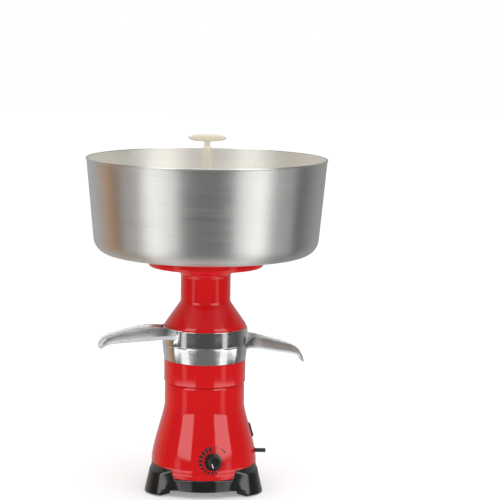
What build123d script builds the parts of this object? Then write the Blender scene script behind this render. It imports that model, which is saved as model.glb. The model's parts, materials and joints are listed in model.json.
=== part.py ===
from build123d import *
import os
from math import asin, cos, degrees, pi, radians, sin, tan

# An electric cream separator, in millimetres, +Z up, front towards -Y. The origin is on the
# spin axis, in the plane the feet rest on. From the floor up: a black base on three feet, a
# bell-shaped housing with the motor inside, the drum chamber with the spinning drum, the skim
# milk receiver, the cream receiver, the float chamber and the milk tank with its plug valve.

# ---------------------------------------------------------------- driving dimensions
CLEAR = 0.1                # gap between stacked pieces
RUNNING = 0.03             # radial gap of a shaft in its bore

# heights of the stack
FOOT_BOTTOM_Z = 1.2        # plastic of the feet; the rubber pads reach z = 0
BAND_LOW_Z = 9.5
BAND_TOP_Z = 27.6
HOUSING_LOW_Z = 28.0
FLANK_LOW_Z = 42.0         # the housing narrows from here
FLANK_HIGH_Z = 133.0       # to here, as a curve with an upright tangent at each end
BELLY_PULL = 27.0
WAIST_PULL = 16.0
DECK_TOP_Z = 165.8         # top of the motor housing
CHAMBER_LOW_Z = 166.4
SHOULDER_Z = 201.0         # the skim milk receiver rests here
SEAM_Z = 225.8             # between the two receivers
RECEIVER_TOP_Z = 251.2
NECK_LOW_Z = 290.0         # float chamber's cylinder
NECK_HIGH_Z = 328.0
DISH_LOW_Z = 345.5
TANK_FLOOR_Z = 364.0
RIM_Z = 509.0

# radii of the stack
BAND_R = 80.5
HOUSING_R = 80.3
WAIST_R = 61.0
CHAMBER_R = 62.4
RECEIVER_R = 65.3
CONE_R = 62.7
NECK_R = 38.0
DISH_R = 88.0
TANK_RIM_R = 182.5
TANK_FOOT_R = 169.0

PLASTIC_WALL = 3.0
RECEIVER_WALL = 2.2
TANK_WALL = 1.5

# feet
FOOT_COUNT = 3
FOOT_FIRST_ANGLE = 90      # one foot at the back, two towards the front
FOOT_CENTRE_R = 56.0
FOOT_LOW_R = 42.0
FOOT_HIGH_R = 33.0
FOOT_TOP_Z = 41.0
ROOF_SLOPE = 0.66
ARCH_HALF_WIDTH = 60.0
PAD_R = 10.0
PAD_CENTRE_R = 84.0
BASE_SCREW_CENTRE_R = 66.0

# controls on the housing: angle round the axis (0 is +X) and height
KNOB_ANGLE = -80.0
KNOB_Z = 57.0
KNOB_TILT = 11.0
SWITCH_ANGLE = 11.0
SWITCH_Z = 86.5
SWITCH_TILT = 15.2
CORD_ANGLE = -2.0
CORD_Z = 57.8
CORD_R = 3.1
CORD_STUB = 16.5

# receivers
SPOUT_WALL = 1.8
CREAM_SPOUT_ANGLE = 202.0
SKIM_SPOUT_ANGLE = 14.0
SKIM_FLOOR_Z = 219.5
CREAM_FLOOR_Z = 238.0

# motor
SHAFT_R = 4.0
SPINDLE_R = 5.0
STATOR_R = 38.0
ARMATURE_R = 20.9
POLE_BORE_R = 21.6
CORE_LOW_Z = 84.0
CORE_HIGH_Z = 120.0
BOLT_CENTRE_R = 34.6
LOWER_BEARING = dict(bore=4.0, outer=11.0, low=46.0, high=53.0, ball=1.98, pitch=7.5, balls=7)
UPPER_BEARING = dict(bore=5.0, outer=13.0, low=148.0, high=156.0, ball=2.38, pitch=9.0, balls=7)
MOUNT_CENTRE_R = 47.0
MOUNT_ANGLES = (30, 150, 270)

# drum
DRUM_R = 52.0
DRUM_FLOOR_Z = 178.0
TUBE_R = 8.0
TUBE_BORE_R = 5.5
TUBE_TOP_Z = 261.0
CONE_SLOPE = 0.676         # fall per millimetre of radius of every cone in the drum
DISC_COUNT = 12
DISC_PITCH = 1.35
DISC_SHEET = 0.5

# plug valve
PLUG_R = 7.5
PLUG_BORE_R = 5.0
STEM_TOP_Z = 525.0
HANDLE_Z = 539.2
HANDLE_LENGTH = 58.0
HANDLE_HEIGHT = 11.0

parts = {}


# ---------------------------------------------------------------- helpers
def outline(*corners):
    """A flat face from (x, y) or (x, y, radius) corners. A radius rounds its corner."""
    points = [Vector(c[0], c[1]) for c in corners]
    entries, exits, edges = [], [], []
    for i, corner in enumerate(corners):
        here, before, after = points[i], points[i - 1], points[(i + 1) % len(points)]
        if len(corner) < 3:
            entries.append(here)
            exits.append(here)
            continue
        back, ahead = (before - here).normalized(), (after - here).normalized()
        half = radians(back.get_angle(ahead)) / 2
        centre = here + (back + ahead).normalized() * (corner[2] / sin(half))
        middle = centre + (here - centre).normalized() * corner[2]
        entries.append(here + back * (corner[2] / tan(half)))
        exits.append(here + ahead * (corner[2] / tan(half)))
        edges.append(ThreePointArc(entries[-1], middle, exits[-1]))
    for i, leave in enumerate(exits):
        arrive = entries[(i + 1) % len(entries)]
        if (arrive - leave).length > 1e-6:
            edges.append(Line(leave, arrive))
    return make_face(edges)


def turned(face):
    """The solid a profile of (radius, height) sweeps round the Z axis."""
    return revolve(Plane.XZ * face, Axis.Z)


def disc(radius, low, high):
    return Pos(0, 0, low) * Cylinder(radius, high - low, align=(Align.CENTER, Align.CENTER, Align.MIN))


def tube(inner, outer, low, high):
    return disc(outer, low, high) - disc(inner, low, high)


def block(length, width, low, high):
    return Pos(0, 0, low) * Box(length, width, high - low, align=(Align.CENTER, Align.CENTER, Align.MIN))


def at(radius, angle, shape, height=0.0):
    """The shape moved out from the axis, at an angle round it."""
    return Rot(0, 0, angle) * Pos(radius, 0, height) * shape


def around(shape, count, first=0.0):
    return [Rot(0, 0, first + 360.0 * i / count) * shape for i in range(count)]


def wedge(inner, outer, half_angle, low, high):
    """A sector of a ring, centred on +X."""
    reach = outer * 1.5
    edge = reach * tan(radians(half_angle))
    sector = make_face(Polyline((0, 0), (reach, -edge), (reach, edge), close=True))
    return tube(inner, outer, low, high) & extrude(Plane.XY.offset(low) * sector, high - low)


def solids_of(shapes):
    found = []
    for shape in shapes if isinstance(shapes, (list, tuple)) else [shapes]:
        found += list(shape.solids())
    return found


def keep(name, shapes):
    """Names a piece, to be written as one file."""
    parts[name] = Compound(solids_of(shapes))


def wire_along(radius, *points):
    """A round wire through the points."""
    path = Spline(*points)
    start = Plane(origin=path @ 0, z_dir=path % 0)
    return sweep(start * Circle(radius), path=path)


# ---------------------------------------------------------------- housing surface
def bell_curve(shrink=0.0):
    """The housing's flank, from its widest to its waist."""
    wide, narrow = HOUSING_R - shrink, WAIST_R - shrink
    return Bezier(
        (wide, FLANK_LOW_Z),
        (wide, FLANK_LOW_Z + BELLY_PULL),
        (narrow, FLANK_HIGH_Z - WAIST_PULL),
        (narrow, FLANK_HIGH_Z),
    )


def flank_radius(height):
    """Radius of the housing's outside at a height."""
    curve = bell_curve()
    low, high = 0.0, 1.0
    for _ in range(40):
        middle = (low + high) / 2
        if (curve @ middle).Y < height:
            low = middle
        else:
            high = middle
    return (curve @ low).X


def surface_plane(angle, height, tilt):
    """A plane on the housing's outside, z outwards along the surface's normal, y up the flank."""
    a, t = radians(angle), radians(tilt)
    radius = flank_radius(height)
    outwards = (cos(a) * cos(t), sin(a) * cos(t), sin(t))
    spot = (radius * cos(a), radius * sin(a), height)
    return Plane(origin=spot, x_dir=(-sin(a), cos(a), 0), z_dir=outwards)


KNOB_PLANE = surface_plane(KNOB_ANGLE, KNOB_Z, KNOB_TILT)
SWITCH_PLANE = surface_plane(SWITCH_ANGLE, SWITCH_Z, SWITCH_TILT)


# ---------------------------------------------------------------- base and feet
def foot_lobe():
    """A leaning round column, cut by a roof that falls away from the housing."""
    peak = 60.0
    lean = (FOOT_LOW_R - FOOT_HIGH_R) / (FOOT_TOP_Z - FOOT_BOTTOM_Z)
    lobe = Pos(FOOT_CENTRE_R, 0, FOOT_BOTTOM_Z) * Cone(
        FOOT_LOW_R,
        FOOT_LOW_R - lean * (peak - FOOT_BOTTOM_Z),
        peak - FOOT_BOTTOM_Z,
        align=(Align.CENTER, Align.CENTER, Align.MIN),
    )
    reach = 110.0
    lobe &= turned(outline((0, 0), (reach, 0), (reach, FOOT_TOP_Z - ROOF_SLOPE * (reach - BAND_R)),
                           (0, FOOT_TOP_Z + ROOF_SLOPE * BAND_R)))
    crest = [e for e in lobe.edges() if 30 < e.center().Z < peak - 1]
    return fillet(crest, 2.5)


def arch_cutter():
    """The gap under the band between two feet, open towards +X."""
    face = outline(
        (-ARCH_HALF_WIDTH - 4, -1),
        (ARCH_HALF_WIDTH + 4, -1),
        (ARCH_HALF_WIDTH - 8, BAND_LOW_Z, 7),
        (-ARCH_HALF_WIDTH + 8, BAND_LOW_Z, 7),
    )
    return extrude(Plane(origin=(0, 0, 0), x_dir=(0, 1, 0), z_dir=(1, 0, 0)) * face, 130)


def make_base():
    base = disc(BAND_R, FOOT_BOTTOM_Z, BAND_TOP_Z)
    base += around(foot_lobe(), FOOT_COUNT, FOOT_FIRST_ANGLE)
    base -= disc(76.6, 12.5, 70)
    base -= disc(BAND_R + 0.4, BAND_TOP_Z, 70)
    base -= disc(72.0, -1, BAND_LOW_Z)
    base -= around(arch_cutter(), FOOT_COUNT, FOOT_FIRST_ANGLE + 60)
    slot = Pos(34, 0, 0) * extrude(SlotOverall(26, 3.2), 20)
    base -= around(slot, 18, 10)
    base -= disc(14, 0, 20)
    screw_hole = at(BASE_SCREW_CENTRE_R, 0, disc(2.2, 0, 20) + disc(4.6, 0, BAND_LOW_Z + 0.6))
    base -= around(screw_hole, FOOT_COUNT, FOOT_FIRST_ANGLE + 60)
    pad_seat = at(PAD_CENTRE_R, 0, disc(PAD_R + CLEAR, 0, 5.2) + disc(1.9, 0, 16))
    base -= around(pad_seat, FOOT_COUNT, FOOT_FIRST_ANGLE)
    keep("base", base)


def make_feet():
    face = outline(
        (2.6, 0),
        (PAD_R - 1.5, 0),
        (PAD_R, 1.5),
        (PAD_R, 5.1),
        (1.9, 5.1),
        (1.9, 3.0),
        (2.6, 3.0),
    )
    pad = turned(face)
    pad -= disc(4.2, -1, 2.4)
    keep("foot_pads", around(at(PAD_CENTRE_R, 0, pad), FOOT_COUNT, FOOT_FIRST_ANGLE))
    screw = disc(3.8, 0.9, 2.3) + disc(1.8, 2.3, 14.5)
    screw -= block(5.5, 0.9, 0, 1.6)
    keep("foot_screws", around(at(PAD_CENTRE_R, 0, screw), FOOT_COUNT, FOOT_FIRST_ANGLE))
    long_screw = disc(4.2, 7.2, 10.0) + disc(1.95, 10.0, 30)
    long_screw -= block(5.5, 1.0, 7, 8.4)
    long_screw -= block(1.0, 5.5, 7, 8.4)
    placed = at(BASE_SCREW_CENTRE_R, 0, long_screw)
    keep("base_screws", around(placed, FOOT_COUNT, FOOT_FIRST_ANGLE + 60))


# ---------------------------------------------------------------- housing
def make_housing():
    outer = [
        Line((HOUSING_R - 2, HOUSING_LOW_Z), (HOUSING_R - 0.8, HOUSING_LOW_Z)),
        Line((HOUSING_R - 0.8, HOUSING_LOW_Z), (HOUSING_R, HOUSING_LOW_Z + 1.6)),
        Line((HOUSING_R, HOUSING_LOW_Z + 1.6), (HOUSING_R, FLANK_LOW_Z)),
        bell_curve(),
        Line((WAIST_R, FLANK_HIGH_Z), (WAIST_R, DECK_TOP_Z - 2.5)),
        ThreePointArc(
            (WAIST_R, DECK_TOP_Z - 2.5),
            (WAIST_R - 2.5 * (1 - cos(pi / 4)), DECK_TOP_Z - 2.5 * (1 - sin(pi / 4))),
            (WAIST_R - 2.5, DECK_TOP_Z),
        ),
    ]
    deck_low = DECK_TOP_Z - 3.8
    inner_r = WAIST_R - PLASTIC_WALL
    inner = [
        Line((WAIST_R - 2.5, DECK_TOP_Z), (24, DECK_TOP_Z)),
        Line((24, DECK_TOP_Z), (24, deck_low)),
        Line((24, deck_low), (inner_r, deck_low)),
        Line((inner_r, deck_low), (inner_r, FLANK_HIGH_Z)),
        bell_curve(PLASTIC_WALL),
        Line((HOUSING_R - PLASTIC_WALL, FLANK_LOW_Z), (HOUSING_R - PLASTIC_WALL, HOUSING_LOW_Z + 4)),
        Line((HOUSING_R - PLASTIC_WALL, HOUSING_LOW_Z + 4), (HOUSING_R - 6.5, HOUSING_LOW_Z + 4)),
        Line((HOUSING_R - 6.5, HOUSING_LOW_Z + 4), (HOUSING_R - 6.5, HOUSING_LOW_Z - 5)),
        Line((HOUSING_R - 6.5, HOUSING_LOW_Z - 5), (HOUSING_R - 4, HOUSING_LOW_Z - 5)),
        Line((HOUSING_R - 4, HOUSING_LOW_Z - 5), (HOUSING_R - 4, HOUSING_LOW_Z)),
        Line((HOUSING_R - 4, HOUSING_LOW_Z), (HOUSING_R - 2, HOUSING_LOW_Z)),
    ]
    shell = turned(make_face(outer + inner))
    boss = at(BASE_SCREW_CENTRE_R, 0, disc(5, 12.6, 44))
    boss += Pos(BASE_SCREW_CENTRE_R + 6, 0, 0) * block(13, 3, 33, 44)
    boss = boss & disc(HOUSING_R - 1.5, 0, 60)
    shell += around(boss, FOOT_COUNT, FOOT_FIRST_ANGLE + 60)
    pilot = at(BASE_SCREW_CENTRE_R, 0, disc(2.0, 10, 32))
    shell -= around(pilot, FOOT_COUNT, FOOT_FIRST_ANGLE + 60)
    shell -= [at(MOUNT_CENTRE_R, a, disc(2.3, deck_low - 2, DECK_TOP_Z + 2)) for a in MOUNT_ANGLES]
    shell -= KNOB_PLANE * Cylinder(3.6, 16)
    shell -= SWITCH_PLANE * Box(13.0, 19.4, 16)
    shell -= Rot(0, 0, CORD_ANGLE) * Pos(HOUSING_R, 0, CORD_Z) * Rot(0, 90, 0) * Cylinder(4.6, 24)
    keep("motor_housing", shell)


def make_drum_chamber():
    low = CHAMBER_LOW_Z
    seat = DECK_TOP_Z + CLEAR
    face = outline(
        (12.5, seat),
        (57.0, seat),
        (57.0, low),
        (CHAMBER_R - 0.2, low, 1.4),
        (CHAMBER_R, SHOULDER_Z),
        (59.9, SHOULDER_Z),
        (59.9, 213, 0.8),
        (57.6, 213),
        (57.6, low + 3, 3),
        (15, low + 3, 1.5),
        (15, 176),
        (12.5, 176),
    )
    chamber = turned(face)
    chamber -= [at(MOUNT_CENTRE_R, a, disc(2.2, low - 2, low + 8)) for a in MOUNT_ANGLES]
    keep("drum_chamber", chamber)


def make_chamber_bolts():
    top = CHAMBER_LOW_Z + 3
    bolt = disc(4.2, top + CLEAR, top + 2.9) + disc(2.0, 144, top + CLEAR)
    bolt -= extrude(Plane.XY.offset(top + 1.2) * RegularPolygon(1.8, 6), 5)
    keep("chamber_bolts", [at(MOUNT_CENTRE_R, a, bolt) for a in MOUNT_ANGLES])
    low, high = 150 + CLEAR, DECK_TOP_Z - 3.8 - CLEAR
    middle = (low + high) / 2
    damper = turned(outline((2.3, low), (7.5, low), (6.2, middle, 6), (7.5, high), (2.3, high)))
    keep("rubber_dampers", [at(MOUNT_CENTRE_R, a, damper) for a in MOUNT_ANGLES])


# ---------------------------------------------------------------- motor
def make_brackets():
    upper = UPPER_BEARING
    top = tube(upper["outer"] + 0.02, upper["outer"] + 4, 145, 157)
    top += tube(7, upper["outer"] + 4, 145, 147.9)
    arm = Pos(28, 0, 0) * block(26, 12, 146, 150) + at(BOLT_CENTRE_R, 0, disc(6, 146, 150))
    top += around(arm, 4, 45)
    for angle in MOUNT_ANGLES:
        ear = Pos(32, 0, 0) * block(32, 14, 146, 150) + at(MOUNT_CENTRE_R, 0, disc(7.5, 146, 150))
        top += Rot(0, 0, angle) * ear
    top += around(at(BOLT_CENTRE_R, 0, disc(4, CORE_HIGH_Z + CLEAR, 146)), 4, 45)
    top -= disc(7, 140, 150)
    top -= disc(upper["outer"] + 0.02, 147.9, 160)
    top -= around(at(BOLT_CENTRE_R, 0, disc(2.1, 100, 160)), 4, 45)
    top -= [at(MOUNT_CENTRE_R, a, disc(2.0 + RUNNING, 140, 160)) for a in MOUNT_ANGLES]
    keep("upper_bearing_bracket", top)

    lower = LOWER_BEARING
    bottom = tube(lower["outer"] + 0.02, lower["outer"] + 3.5, 44, 54)
    arm = Pos(26, 0, 0) * block(24, 10, 50, 54) + at(BOLT_CENTRE_R, 0, disc(6, 50, 54))
    bottom += around(arm, 4, 45)
    bottom += around(at(BOLT_CENTRE_R, 0, disc(4, 50, CORE_LOW_Z - CLEAR)), 4, 45)
    cradle = Pos(24, 0, 0) * block(20, 7, 50, 62.3)
    bottom += around(cradle, 2)
    bottom -= disc(lower["outer"] + 0.02, 46 - CLEAR, 60)
    bottom -= disc(8, 40, 60)
    bottom -= around(at(BOLT_CENTRE_R, 0, disc(2.1, 40, 100)), 4, 45)
    keep("lower_bearing_bracket", bottom)

    bolt = disc(3.6, 150 + CLEAR, 153) + disc(2.0, 46.4, 150 + CLEAR)
    bolt -= block(6, 1, 151.8, 154)
    keep("motor_bolts", around(at(BOLT_CENTRE_R, 0, bolt), 4, 45))
    nut = extrude(Plane.XY.offset(46.7) * RegularPolygon(3.9, 6), 3.2) - disc(2.0 + RUNNING, 40, 60)
    keep("motor_nuts", around(at(BOLT_CENTRE_R, 0, nut), 4, 45))


def make_stator():
    core = tube(31, STATOR_R, CORE_LOW_Z, CORE_HIGH_Z)
    pole = wedge(24.8, 31.5, 30, CORE_LOW_Z, CORE_HIGH_Z)
    pole += wedge(POLE_BORE_R, 25.0, 50, CORE_LOW_Z, CORE_HIGH_Z)
    core += around(pole, 2, 90)
    core -= around(at(BOLT_CENTRE_R, 0, disc(2.1, 80, 130)), 4, 45)
    keep("stator_core", core)
    coil = wedge(25.2, 30.2, 49, CORE_LOW_Z - 7, CORE_HIGH_Z + 7)
    coil -= wedge(20, 35, 31.5, CORE_LOW_Z - 0.5, CORE_HIGH_Z + 0.5)
    keep("field_coils", around(coil, 2, 90))


def make_armature():
    core = tube(SHAFT_R + RUNNING, ARMATURE_R, CORE_LOW_Z, CORE_HIGH_Z)
    slot = at(16.5, 0, disc(2.1, 80, 125)) + Pos(19.5, 0, 0) * block(5, 1.3, 80, 125)
    core -= around(slot, 12)
    keep("armature_core", core)
    head = outline((8, 0), (13, 0, 2), (18.8, 3.5, 2.5), (18.8, 7.6, 1), (8, 7.6))
    lower = Pos(0, 0, CORE_LOW_Z - 7.7) * turned(head)
    upper = Pos(0, 0, CORE_HIGH_Z + 7.7) * Rot(180, 0, 0) * turned(head)
    filling = [at(16.5, i * 30, disc(1.9, CORE_LOW_Z - 0.1, CORE_HIGH_Z + 0.1)) for i in range(12)]
    winding = (lower + upper) + filling
    keep("armature_winding", winding)
    commutator = tube(SHAFT_R + RUNNING, 11, 60, 74) + tube(SHAFT_R + RUNNING, 12.4, 72, 74.5)
    commutator -= around(Pos(11.5, 0, 0) * block(3.6, 0.5, 59, 76), 24)
    keep("commutator", commutator)


def make_shaft():
    shaft = turned(
        outline(
            (0, 43.5),
            (SHAFT_R, 43.5, 0.6),
            (SHAFT_R, 130),
            (SPINDLE_R, 130),
            (SPINDLE_R, 172),
            (SHAFT_R, 190, 0.8),
            (0, 190),
        )
    )
    shaft -= Pos(0, 0, 169) * Rot(90, 0, 0) * Cylinder(1.5 + RUNNING, 20)
    keep("motor_shaft", shaft)
    keep("drive_pin", Pos(0, 0, 169) * Rot(90, 0, 0) * Cylinder(1.5, 21))
    hub = tube(SPINDLE_R + RUNNING, 9, 131, 143)
    blade = Pos(18, 0, 137) * Rot(28, 0, 0) * Box(23, 1.6, 11)
    rim = tube(SPINDLE_R + 3, 29, 131, 132.4)
    fan = (hub + rim) + around(blade & tube(7, 28.6, 131.5, 142.5), 9)
    keep("cooling_fan", fan)
    bore = SPINDLE_R + RUNNING
    keep("shaft_slinger", turned(outline((bore, 158.5), (11.5, 158.5), (8, 163, 1), (bore, 163))))


def bearing_pieces(bearing):
    """Outer ring, inner ring, cage and balls of a deep-groove bearing."""
    middle = (bearing["low"] + bearing["high"]) / 2
    pitch, ball = bearing["pitch"], bearing["ball"]
    groove = turned(Pos(pitch, middle) * Circle(ball + 0.05))
    outer = tube(pitch + ball * 0.55, bearing["outer"], bearing["low"], bearing["high"]) - groove
    inner = tube(bearing["bore"] + RUNNING, pitch - ball * 0.55, bearing["low"], bearing["high"]) - groove
    seat = at(pitch, 0, Rot(0, 90, 0) * Sphere(ball + 0.03), middle)
    cage = tube(pitch - 0.5, pitch + 0.5, middle - ball - 0.8, middle + ball + 0.8)
    cage -= around(seat, bearing["balls"])
    balls = around(at(pitch, 0, Sphere(ball), middle), bearing["balls"])
    return outer, inner, cage, balls


def make_bearings():
    lower, upper = bearing_pieces(LOWER_BEARING), bearing_pieces(UPPER_BEARING)
    keep("bearing_outer_rings", [lower[0], upper[0]])
    keep("bearing_inner_rings", [lower[1], upper[1]])
    keep("bearing_cages", [lower[2], upper[2]])
    keep("bearing_balls", lower[3] + upper[3])


def make_brushes():
    height = 67.0
    brush = Pos(17.6, 0, height) * Box(13, 5, 6) - disc(11.1, 60, 75)
    keep("carbon_brushes", around(brush, 2))
    holder = Pos(24.5, 0, height) * (Box(23, 8, 9) - Box(30, 5.2, 6.2))
    keep("brush_holders", around(holder, 2))
    coil = Helix(pitch=1.5, height=7.0, radius=1.8)
    wire = sweep(Plane(origin=coil @ 0, z_dir=coil % 0) * Circle(0.28), path=coil)
    spring = Pos(24.6, 0, height) * Rot(0, 90, 0) * wire
    keep("brush_springs", around(spring, 2))
    cap = Pos(34.1, 0, height) * (Box(4.0, 5.0, 6.0) + Pos(3.1, 0, 0) * Box(2.2, 9, 10))
    keep("brush_caps", around(cap, 2))


# ---------------------------------------------------------------- speed control
def make_speed_control():
    case = disc(8.5, -12.0, -4.4) + disc(3.5, -4.6, 3.8)
    case -= disc(3.05, -11, 9)
    keep("potentiometer", KNOB_PLANE * case)
    nut = extrude(RegularPolygon(5.6, 6), 2.2) - Cylinder(3.5 + RUNNING, 10)
    keep("potentiometer_nut", KNOB_PLANE * Pos(0, 0, 0.3) * nut)
    shaft = disc(3.0, -10.6, 11.0)
    shaft -= Pos(0, 4.2, 9) * Box(8, 4, 12)
    keep("control_shaft", KNOB_PLANE * shaft)

    board = Pos(0, 3, -13.4) * Box(34, 26, 1.6)
    keep("control_board", KNOB_PLANE * board)
    back = -14.25
    pieces = [Pos(-10, 8, back - 5) * Box(11, 14, 10)]
    pieces += [Pos(x, -4, back - 5.5) * Cylinder(4, 11) for x in (2, 12)]
    pieces += [Pos(8, 8, back - 4) * Cylinder(5, 8) - Pos(8, 8, back - 4) * Cylinder(2.2, 9)]
    pieces += [Pos(-10, -5, back - 4) * Box(11, 7, 8)]
    keep("board_components", [KNOB_PLANE * p for p in pieces])

    face = outline((0, 3.4), (13.6, 3.4, 0.6), (13.2, 6.0, 0.8), (10.4, 6.2), (9.6, 15.6, 1.2), (0, 15.6))
    skirt = turned(face)
    flute = Pos(10.9, 0, 0) * Cylinder(1.15, 40)
    flutes = [Rot(0, 0, 360.0 * i / 20) * flute for i in range(20)]
    grip = skirt - [f & Pos(0, 0, 16.3) * Cylinder(20, 20) for f in flutes]
    grip -= disc(7.2, 2.0, 6.2)
    bore = disc(3.0 + RUNNING, 2.0, 11.6)
    bore -= Pos(0, 4.3, 9) * Box(8, 4, 12)
    grip -= bore
    pointer = Pos(-3.0, -5.2, 15.2) * Rot(0, 0, 18) * Box(1.2, 7.0, 1.2)
    keep("speed_knob", KNOB_PLANE * (grip - pointer))


# ---------------------------------------------------------------- switch and cord
def make_switch():
    frame = Pos(0, 0, 0.2) * extrude(RectangleRounded(15, 21, 1.2), 2.0)
    case = Pos(0, 0, -12) * extrude(RectangleRounded(12.6, 19.0, 0.8), 12.4)
    hollow = Pos(0, 0, -9.6) * extrude(Rectangle(10.4, 17.4), 14)
    pivot_depth = -1.0
    sockets = Pos(0, 0, pivot_depth) * Rot(0, 90, 0) * Cylinder(1.4 + RUNNING, 12.0)
    keep("switch_body", SWITCH_PLANE * (frame + case - hollow - sockets))
    side = outline(
        (-8.3, -0.5),
        (-6, -5.5),
        (6, -5.5),
        (8.3, -0.5),
        (8.2, 3.6, 0.8),
        (0, 2.2, 8),
        (-8.2, 3.6, 0.8),
    )
    rocker = extrude(Plane(origin=(-4.9, 0, pivot_depth), x_dir=(0, 1, 0), z_dir=(1, 0, 0)) * side, 9.8)
    rocker += Pos(0, 0, pivot_depth) * Rot(0, 90, 0) * Cylinder(1.4, 11.8)
    rocker = Pos(0, 0, pivot_depth) * Rot(-9, 0, 0) * Pos(0, 0, -pivot_depth) * rocker
    keep("switch_rocker", SWITCH_PLANE * rocker)
    blade = Box(6.0, 0.8, 8)
    keep("switch_terminals", [SWITCH_PLANE * Pos(0, y, -16.1) * blade for y in (-6, 0, 6)])


def make_cord():
    outwards = Plane(
        origin=(0, 0, CORD_Z),
        x_dir=(-sin(radians(CORD_ANGLE)), cos(radians(CORD_ANGLE)), 0),
        z_dir=(cos(radians(CORD_ANGLE)), sin(radians(CORD_ANGLE)), 0),
    )
    face_r = flank_radius(CORD_Z)
    shell = Pos(0, 0, face_r - 8) * extrude(Circle(4.5), 8.2)
    shell += Pos(0, 0, face_r - 7.5) * extrude(Circle(6.0), 3.2)
    bore = Pos(0, 0, face_r - 20) * extrude(Circle(CORD_R + 0.1), 60)
    keep("cord_grip", outwards * (shell - bore))
    sheath = Pos(0, 0, face_r - 16) * extrude(Circle(CORD_R), 16 + CORD_STUB)
    keep("mains_cord", outwards * chamfer(sheath.edges().sort_by(Axis.Z)[-1], 0.5))


def place(angle, radius, height):
    return (radius * cos(radians(angle)), radius * sin(radians(angle)), height)


def make_wiring():
    cord_end = flank_radius(CORD_Z) - 17
    wires = [
        [place(2, cord_end, 59), place(4, cord_end - 6, 66), place(9, 47.5, 84), place(9, 48, 90)],
        [place(4, cord_end, 56.5), place(-14, 57, 48), place(-38, 56, 44), place(-58, 57, 44)],
        [place(16, 48.5, 92), place(2, 52, 100), place(-30, 52, 96), place(-60, 53, 82)],
        [place(-96, 52, 56), place(-100, 48, 66), place(-98, 34, 73), place(-92, 27, 74)],
        [place(-100, 50, 48), place(-125, 48, 50), place(-160, 46, 58), place(-176, 42.5, 67)],
    ]
    keep("wiring", [wire_along(0.9, *points) for points in wires])


# ---------------------------------------------------------------- drum
def cone_shell(outer_r, inner_r, low, thickness):
    """A thin cone, its outer edge at a height, rising inwards at the drum's slope."""
    high = low + CONE_SLOPE * (outer_r - inner_r)
    face = outline((outer_r, low), (outer_r, low + thickness), (inner_r, high + thickness), (inner_r, high))
    return turned(face)


def make_drum_base():
    face = outline(
        (SPINDLE_R + 0.06, 172),
        (11, 172),
        (11, DRUM_FLOOR_Z),
        (18, DRUM_FLOOR_Z),
        (18, 172.5),
        (20.5, 172.5),
        (20.5, DRUM_FLOOR_Z),
        (DRUM_R, DRUM_FLOOR_Z, 2),
        (DRUM_R, 188),
        (48.8, 188),
        (48.8, 189.5),
        (47.3, 189.5),
        (47.3, 191.5),
        (48.8, 191.5),
        (48.8, 193),
        (45.5, 193),
        (45.5, 182.5, 3),
        (12, 182.5, 2),
        (TUBE_R, 190),
        (TUBE_R, TUBE_TOP_Z, 0.6),
        (TUBE_BORE_R, TUBE_TOP_Z, 0.4),
        (TUBE_BORE_R, 197),
        (0, 197),
        (0, 190.3),
        (SHAFT_R + 0.05, 190.3),
    )
    base = turned(face)
    port = Pos(0, 0, 200) * Rot(0, 90, 0) * Cylinder(2.2, 40)
    base -= [Rot(0, 0, a) * port for a in (0, 90)]
    keep("drum_base", base)
    keep("drum_seal", turned(Pos(48.14, 190.5) * Circle(0.8)))


def make_disc_stack():
    sleeve = tube(TUBE_R + 0.1, 9.8, 206.5, 236)
    skirt = cone_shell(43.5, 9.0, 184.3, 1.6)
    rib = Pos(10.9, 0, 0) * block(2.4, 1.6, 206.5, 222)
    distributor = sleeve + skirt + around(rib, 3)
    distributor -= disc(TUBE_R + 0.1, 180, 240)
    distributor -= around(at(29, 0, disc(2.5, 180, 215)), 6, 30)
    keep("disc_holder", distributor)
    discs = []
    for i in range(DISC_COUNT):
        plate = cone_shell(43.5, 13.0, 186.4 + i * DISC_PITCH, DISC_SHEET)
        discs.append(plate - around(at(29, 0, disc(2.5, 180, 230)), 6, 30))
    keep("separating_discs", discs)
    top_low = 186.4 + DISC_COUNT * DISC_PITCH
    divider = cone_shell(46.0, 10.8, top_low - 1.4, 1.0)
    divider += tube(10.3, 11.3, 224, 241) + tube(10.3, 12.4, 239, 241)
    divider -= disc(10.3, 200, 245)
    keep("dividing_disc", divider)


def make_drum_cover():
    shoulder_z = 250.0
    face = outline(
        (49, 188 + CLEAR),
        (DRUM_R, 188 + CLEAR),
        (DRUM_R, 204, 3),
        (14.5, 204 + CONE_SLOPE * 37.5, 3),
        (14.5, 252, 0.6),
        (TUBE_R + 0.1, 252),
        (TUBE_R + 0.1, shoulder_z),
        (12.5, shoulder_z),
        (12.5, 204 + CONE_SLOPE * 36.5 - 3.2),
        (49, 204 - 2.2, 2),
    )
    cover = turned(face)
    slot = Pos(13.5, 0, 0) * block(6, 4, 234.5, 237.5)
    cover -= around(slot, 6)
    cover -= Pos(13.5, 0, 247.8) * Rot(0, 90, 0) * Cylinder(2.0, 8)
    keep("drum_cover", cover)
    screw = Pos(13.7, 0, 247.8) * Rot(0, 90, 0) * (Cylinder(1.95, 4.2) - Cylinder(0.7, 6))
    screw -= Pos(15.9, 0, 247.8) * Box(1.4, 5, 0.7)
    keep("cream_screw", screw)
    nut = disc(13.4, 252 + CLEAR, 260.2) - disc(TUBE_R + RUNNING, 250, 265)
    nut = chamfer(nut.edges().group_by(Axis.Z)[-1].sort_by(SortBy.RADIUS)[-1], 1.0)
    nut -= around(Pos(13.6, 0, 0) * block(3.6, 4.4, 250, 262), 6)
    keep("drum_nut", nut)


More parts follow.
